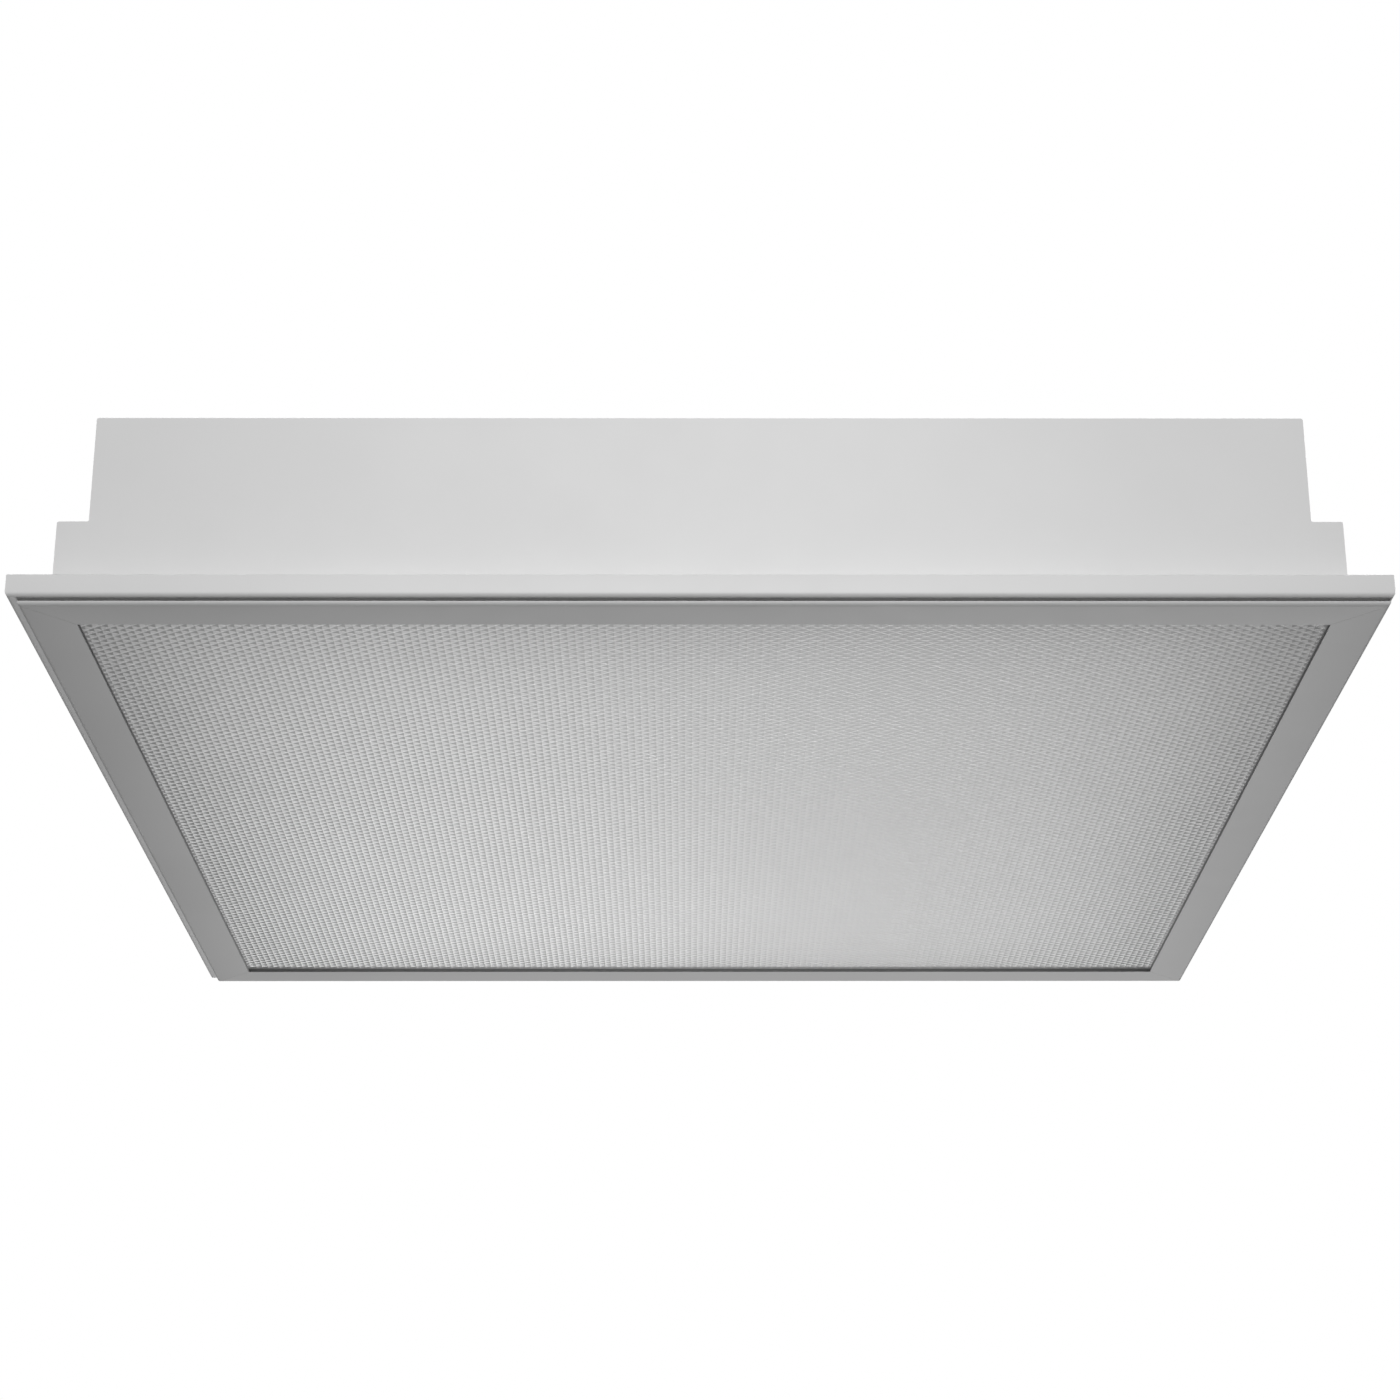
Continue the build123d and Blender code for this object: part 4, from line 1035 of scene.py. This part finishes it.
@dataclass
class LampCompartment:
    """Reflector tray and light boards."""

    boards: int = 8

    def build(self) -> None:
        """Dresses the tray and boards."""
        tray_paint = PowderCoat("reflector_paint", (0.87, 0.87, 0.87), 0.55, 0.015 * MM)
        dress(["reflector_tray"], tray_paint.build())
        dress([f"led_board_{n}" for n in range(1, self.boards + 1)], SolderResist("solder_resist").build())


class LeadColour(Enum):
    """Insulation colours of the inner leads."""

    LIVE = (0.20, 0.075, 0.03)
    NEUTRAL = (0.02, 0.10, 0.42)
    EARTH = (0.06, 0.30, 0.05)
    OUTPUT_PLUS = (0.50, 0.02, 0.015)
    OUTPUT_MINUS = (0.02, 0.02, 0.02)


@dataclass
class Wiring:
    """Driver, mains terminal, cord clamp, earth terminal, connector and leads."""

    def build(self) -> None:
        """Dresses the wiring's solids."""
        sheet = PlatedSteel("driver_sheet", (0.70, 0.71, 0.72), 0.4, line_axis=(0.02, 1.0, 1.0))
        dress(["driver_case"], sheet.build())
        dress(["driver_cap_mains", "driver_cap_output"], Moulded("driver_cap", (0.72, 0.72, 0.70)).build())
        grey = Moulded("terminal_grey", (0.62, 0.62, 0.60), 0.4)
        dress(["terminal_block", "board_connector"], grey.build())
        nylon = Moulded("natural_nylon", (0.66, 0.64, 0.56), 0.5)
        dress(["cord_clamp_base", "cord_clamp_bar"], nylon.build())
        dress(["earth_terminal"], PlatedSteel("earth_brass", (0.80, 0.58, 0.24), 0.3).build())
        for pole in (LeadColour.LIVE, LeadColour.NEUTRAL, LeadColour.EARTH):
            name = pole.name.lower()
            dress([f"terminal_button_{name}"], Moulded(f"button_{name}", pole.value, 0.3).build())
        for lead in LeadColour:
            name = lead.name.lower()
            dress([f"lead_{name}"], Moulded(f"insulation_{name}", lead.value, 0.38, 0.01 * MM).build())


# ---- studio ----------------------------------------------------------------------------------------
@dataclass(frozen=True)
class SoftLamp:
    """A rectangular lamp whose height is in an upright plane; radiance 1 is the background's white."""

    name: str
    place: tuple[float, float, float]
    facing: tuple[float, float, float]
    size: tuple[float, float]
    radiance: float

    def build(self) -> None:
        """Adds the lamp, unseen by the camera."""
        data = bpy.data.lights.new(self.name, "AREA")
        data.shape, data.size, data.size_y = "RECTANGLE", *self.size
        data.energy = self.radiance * math.pi * self.size[0] * self.size[1]
        obj = bpy.data.objects.new(self.name, data)
        turn = Vector(self.facing).to_track_quat("-Z", "Y").to_matrix().to_4x4()
        obj.matrix_world = Matrix.Translation(self.place) @ turn
        obj.visible_camera = False
        bpy.context.scene.collection.objects.link(obj)


@dataclass
class Studio:
    """Floor, world, lamps and the camera below the light."""

    floor_height: float = -4.8
    floor_size: float = 30.0
    fill: float = 0.06
    camera_place: tuple[float, float, float] = (-5.706 * MM, -1473.57 * MM, -500.95 * MM)
    pitch: float = 21.201
    yaw: float = 0.258
    roll: float = -0.086
    lens: float = 76.91
    sensor: float = 36.0
    sheet_distance: float = 2.43
    sheet_tilt: float = 64.5
    sheet_near: float = -2.24
    sheet_far: float = -0.22
    sheet_half_width: float = 0.72
    sheet_side: float = 0.25
    sheet_radiance: float = 4.9
    fills: tuple[SoftLamp, ...] = (
        SoftLamp("front_key", (0.0, -1.35, 0.25), (0.0, 1.0, -0.2), (0.5, 0.5), 11.8),
        SoftLamp("side_fill", (-3.0, 1.3, 1.3), (3.0, -1.3, -1.3), (2.0, 2.0), 2.2),
        SoftLamp("top_fill", (1.5, 1.5, 2.5), (-1.5, -1.5, -2.5), (2.0, 2.0), 4.5),
    )

    def camera(self) -> None:
        """Camera at the viewer's place, from its pitch, yaw and roll in degrees."""
        pitch, yaw, roll = (math.radians(a) for a in (self.pitch, self.yaw, self.roll))
        ahead = Vector((math.sin(yaw) * math.cos(pitch), math.cos(yaw) * math.cos(pitch), math.sin(pitch)))
        across = Vector((math.cos(yaw), -math.sin(yaw), 0.0))
        up = across.cross(ahead)
        right = across * math.cos(roll) + up * math.sin(roll)
        top = up * math.cos(roll) - across * math.sin(roll)
        data = bpy.data.cameras.new("viewer")
        data.lens, data.sensor_width, data.clip_end = self.lens, self.sensor, 100.0
        obj = bpy.data.objects.new("viewer", data)
        turn = Matrix((right, top, -ahead)).transposed().to_4x4()
        obj.matrix_world = Matrix.Translation(self.camera_place) @ turn
        bpy.context.scene.collection.objects.link(obj)
        bpy.context.scene.camera = obj

    def light_sheet(self) -> None:
        """The wide lamp below and behind, whose edges the prisms' sides mirror on the panel."""
        tilt = math.radians(self.sheet_tilt)
        facing = Vector((0.0, -math.sin(tilt), math.cos(tilt)))
        along = Vector((0.0, math.cos(tilt), math.sin(tilt)))
        place = facing * -self.sheet_distance + along * (self.sheet_near + self.sheet_far) / 2
        place.x = self.sheet_side
        size = (2 * self.sheet_half_width, self.sheet_far - self.sheet_near)
        SoftLamp("light_sheet", tuple(place), tuple(facing), size, self.sheet_radiance).build()

    def world(self) -> None:
        """Even fill light, seen as white by the camera."""
        world = bpy.data.worlds.new("studio")
        shader = Shader("studio", world)
        seen = Value(shader, shader.node("ShaderNodeLightPath").outputs["Is Camera Ray"])
        strength = self.fill + seen * (1.0 - self.fill)
        background = shader.node("ShaderNodeBackground", {}, {"Color": (1, 1, 1, 1), "Strength": strength})
        output = shader.node("ShaderNodeOutputWorld")
        shader.tree.links.new(background.outputs[0], output.inputs[0])
        bpy.context.scene.world = world

    def floor(self) -> None:
        """Pale floor that keeps the light's shadow and looks nearly white."""
        half = self.floor_size / 2
        mesh = bpy.data.meshes.new("floor")
        corners = rectangle((-half, -half), (half, half), self.floor_height)
        mesh.from_pydata(corners.tolist(), [], [(0, 1, 2, 3)])
        obj = bpy.data.objects.new("floor", mesh)
        bpy.context.scene.collection.objects.link(obj)
        shader = Shader("floor_paint")
        seen = Value(shader, shader.node("ShaderNodeLightPath").outputs["Is Camera Ray"])
        glow = shader.blend(seen, (0.0, 0.0, 0.0), (0.9, 0.9, 0.9))
        mesh.materials.append(shader.finish(Base_Color=(0.30, 0.30, 0.30), Roughness=0.9,
                                            Emission_Color=glow, Emission_Strength=1.0))

    def build(self) -> None:
        """Sets up the whole studio."""
        bpy.context.scene.view_settings.view_transform = "Standard"
        self.camera()
        self.world()
        self.floor()
        self.light_sheet()
        for lamp in self.fills:
            lamp.build()


def main() -> None:
    """Builds every sub-assembly in order."""
    logging.basicConfig(level=logging.INFO, format="%(name)s: %(message)s")
    Studio().build()
    housing_paint = PowderCoat("housing_paint", roughness=0.5).build()
    steel = PlatedSteel("zinc_plate").build()
    bright = PlatedSteel("bright_zinc", (0.74, 0.74, 0.75), 0.25).build()
    PrismaticPanel().build()
    DoorFrame().build()
    DoorFittings().build(steel)
    FlangeFrame().build(housing_paint)
    Housing().build(housing_paint, steel, bright)
    LampCompartment().build()
    LightSources().build()
    Wiring().build()
    CableGrommet().build()
    HousingRivets().build()
    SuspensionThreads().build(steel)


if __name__ == "__main__":
    main()
